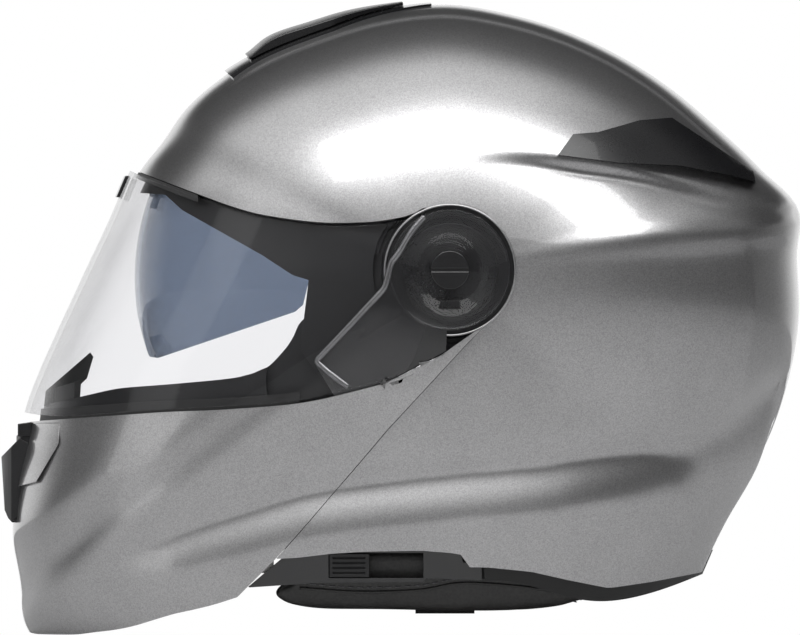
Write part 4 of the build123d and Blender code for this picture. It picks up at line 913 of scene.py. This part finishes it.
band, away = arc_through(STRAP_SPOTS, STRAP_STEPS)
for side, word in ((-1, "left"), (1, "right")):
    width = np.linspace(-0.5, 0.5, STRAP_COLUMNS)
    edge_lift = SELVAGE * np.abs(2 * width) ** 6
    points = np.zeros((STRAP_STEPS, STRAP_COLUMNS, 3))
    points[..., 0] = STRAP_X + width[None] * STRAP_WIDTH
    points[..., 1] = side * (band[:, None, 0] + edge_lift[None] * away[:, None, 0])
    points[..., 2] = band[:, None, 1] + edge_lift[None] * away[:, None, 1]
    bm = laid_grid(points)
    strap = piece(f"strap_webbing_{word}", bm, webbing, "shell", [f"chin_strap_{word}"])
    walled(strap, STRAP_WALL, 0.0003, offset=0.0)

# Chin curtain: a thin knitted flap held along the chin bar's lower edge. Its lower part ripples
# a little.
CURTAIN_TOP_PX = [(36, 571), (70, 571), (115, 571), (160.4, 571)]
CURTAIN_LOW_PX = [(30, 627), (48.8, 627.5), (80.7, 626), (125, 617), (172.3, 605.5)]
CURTAIN_DEPTH = 0.0184
CURTAIN_WALL = 0.0012
CURTAIN_ROWS = 40
CURTAIN_COLUMNS = 90
CURTAIN_RIPPLE = 0.0005
CURTAIN_RIPPLES = 61
top = on_skin(CURTAIN_TOP_PX, CURTAIN_COLUMNS, depth=CURTAIN_DEPTH)
low = on_skin(CURTAIN_LOW_PX, CURTAIN_COLUMNS, depth=CURTAIN_DEPTH)
middle = on_crown(angle_of(top[0]), angle_of(low[0]), CURTAIN_ROWS)
top[0], low[0] = middle[0], middle[-1]
side_line = np.linspace(top[-1], low[-1], CURTAIN_ROWS)
places = fill_between(top, low, middle, side_line)
points = skin_at(places, CURTAIN_DEPTH)
along = np.linspace(0, 1, CURTAIN_COLUMNS)[None]
drop = np.linspace(0, 1, CURTAIN_ROWS)[:, None]
points[..., 0] += CURTAIN_RIPPLE * np.sin(along * CURTAIN_RIPPLES) * drop
bm = laid_grid(points)
both_halves(bm)
outwards(bm, HEART)
curtain = piece("chin_curtain_cloth", bm, cloth, "chin_bar", ["chin_curtain"])
walled(curtain, CURTAIN_WALL, 0.0003)
across, down = np.diff(points, axis=1), np.diff(points, axis=0)

# Studio: the photograph's side view, a pale floor, a white background and large soft lamps. The
# paint mirrors a room that is bright overhead and dim at both ends.
FRAME_WIDTH = 800 * PIXEL
eye = bpy.data.cameras.new("camera")
eye.type = "ORTHO"
eye.ortho_scale = FRAME_WIDTH
camera = bpy.data.objects.new("camera", eye)
camera.location = ((400 - PHOTO_MIDDLE) * PIXEL, -2.0, (PHOTO_FLOOR - 317.5) * PIXEL)
camera.rotation_euler = (math.radians(90), 0, 0)
bpy.context.scene.collection.objects.link(camera)
bpy.context.scene.camera = camera
bpy.context.scene.view_settings.view_transform = "Standard"


def soft_lamp(name, place, aim, size, power):
    """A rectangular area lamp at a place, turned to its aim."""
    lamp = bpy.data.lights.new(name, "AREA")
    lamp.shape = "RECTANGLE"
    lamp.size, lamp.size_y = size
    lamp.energy = power
    obj = bpy.data.objects.new(name, lamp)
    obj.location = place
    obj.rotation_euler = (Vector(aim) - Vector(place)).to_track_quat("-Z", "Y").to_euler()
    bpy.context.scene.collection.objects.link(obj)


soft_lamp("key", (0.12, -0.75, 1.15), (0.04, 0, 0.2), (1.6, 0.6), 12)
soft_lamp("front", (-1.3, -0.7, 0.35), (-0.05, 0, 0.1), (0.5, 0.9), 1.3)
soft_lamp("low", (0.1, -1.0, -0.25), (0.0, 0, 0.08), (1.4, 0.25), 0.5)
world = bpy.data.worlds.new("studio")
bpy.context.scene.world = world
world.use_nodes = True
nodes, links = world.node_tree.nodes, world.node_tree.links


def between(source, low, high, to_low, to_high):
    """World node that turns one direction's range into a level, smoothly."""
    span = nodes.new("ShaderNodeMapRange")
    span.interpolation_type = "SMOOTHSTEP"
    for socket, value in zip(("From Min", "From Max", "To Min", "To Max"),
                             (low, high, to_low, to_high)):
        span.inputs[socket].default_value = value
    links.new(source, span.inputs["Value"])
    return span.outputs["Result"]


def joined(kind, first, second):
    """World node that joins two levels by one kind of sum."""
    math_node = nodes.new("ShaderNodeMath")
    math_node.operation = kind
    links.new(first, math_node.inputs[0])
    links.new(second, math_node.inputs[1])
    return math_node.outputs[0]


where = nodes.new("ShaderNodeTexCoord")
axes = nodes.new("ShaderNodeSeparateXYZ")
links.new(where.outputs["Generated"], axes.inputs["Vector"])
overhead = between(axes.outputs["Z"], 0.10, 0.62, 0.22, 1.2)
left_dim = between(axes.outputs["X"], -0.98, -0.70, 0.30, 1)
right_dim = between(axes.outputs["X"], 0.22, 0.75, 1, 0.18)
flag_low = between(axes.outputs["Z"], 0.12, 0.32, 0, 1)
flag_back = between(axes.outputs["Y"], 0.05, 0.6, 0, 0.93)
flag = between(joined("MULTIPLY", flag_low, flag_back), 0, 1, 1, 0)
wall = between(axes.outputs["Y"], 0.3, 0.7, 0, 0.74)
sides = joined("MULTIPLY", left_dim, right_dim)
level = joined("MULTIPLY", joined("MULTIPLY", joined("ADD", overhead, wall), flag), sides)
mirrored = nodes.new("ShaderNodeBackground")
links.new(level, mirrored.inputs["Color"])
sky = nodes["Background"]
sky.inputs["Color"].default_value = (0.24, 0.24, 0.245, 1)
seen = nodes.new("ShaderNodeBackground")
seen.inputs["Color"].default_value = (1, 1, 1, 1)
path = nodes.new("ShaderNodeLightPath")
shiny = nodes.new("ShaderNodeMixShader")
links.new(path.outputs["Is Glossy Ray"], shiny.inputs["Fac"])
links.new(sky.outputs["Background"], shiny.inputs[1])
links.new(mirrored.outputs["Background"], shiny.inputs[2])
choose = nodes.new("ShaderNodeMixShader")
links.new(joined("MAXIMUM", path.outputs["Is Camera Ray"], path.outputs["Is Transmission Ray"]),
          choose.inputs["Fac"])
links.new(shiny.outputs["Shader"], choose.inputs[1])
links.new(seen.outputs["Background"], choose.inputs[2])
links.new(choose.outputs["Shader"], nodes["World Output"].inputs["Surface"])

floor_mesh = bpy.data.meshes.new("floor")
bm = bmesh.new()
bmesh.ops.create_circle(bm, cap_ends=True, segments=64, radius=2.5)
bm.to_mesh(floor_mesh)
bm.free()
floor_material = bpy.data.materials.new("pale_floor")
floor_material.use_nodes = True
floor_shader = floor_material.node_tree.nodes["Principled BSDF"]
floor_shader.inputs["Base Color"].default_value = (0.85, 0.85, 0.85, 1)
floor_shader.inputs["Roughness"].default_value = 0.6
floor_mesh.materials.append(floor_material)
floor = bpy.data.objects.new("floor", floor_mesh)
bpy.context.scene.collection.objects.link(floor)
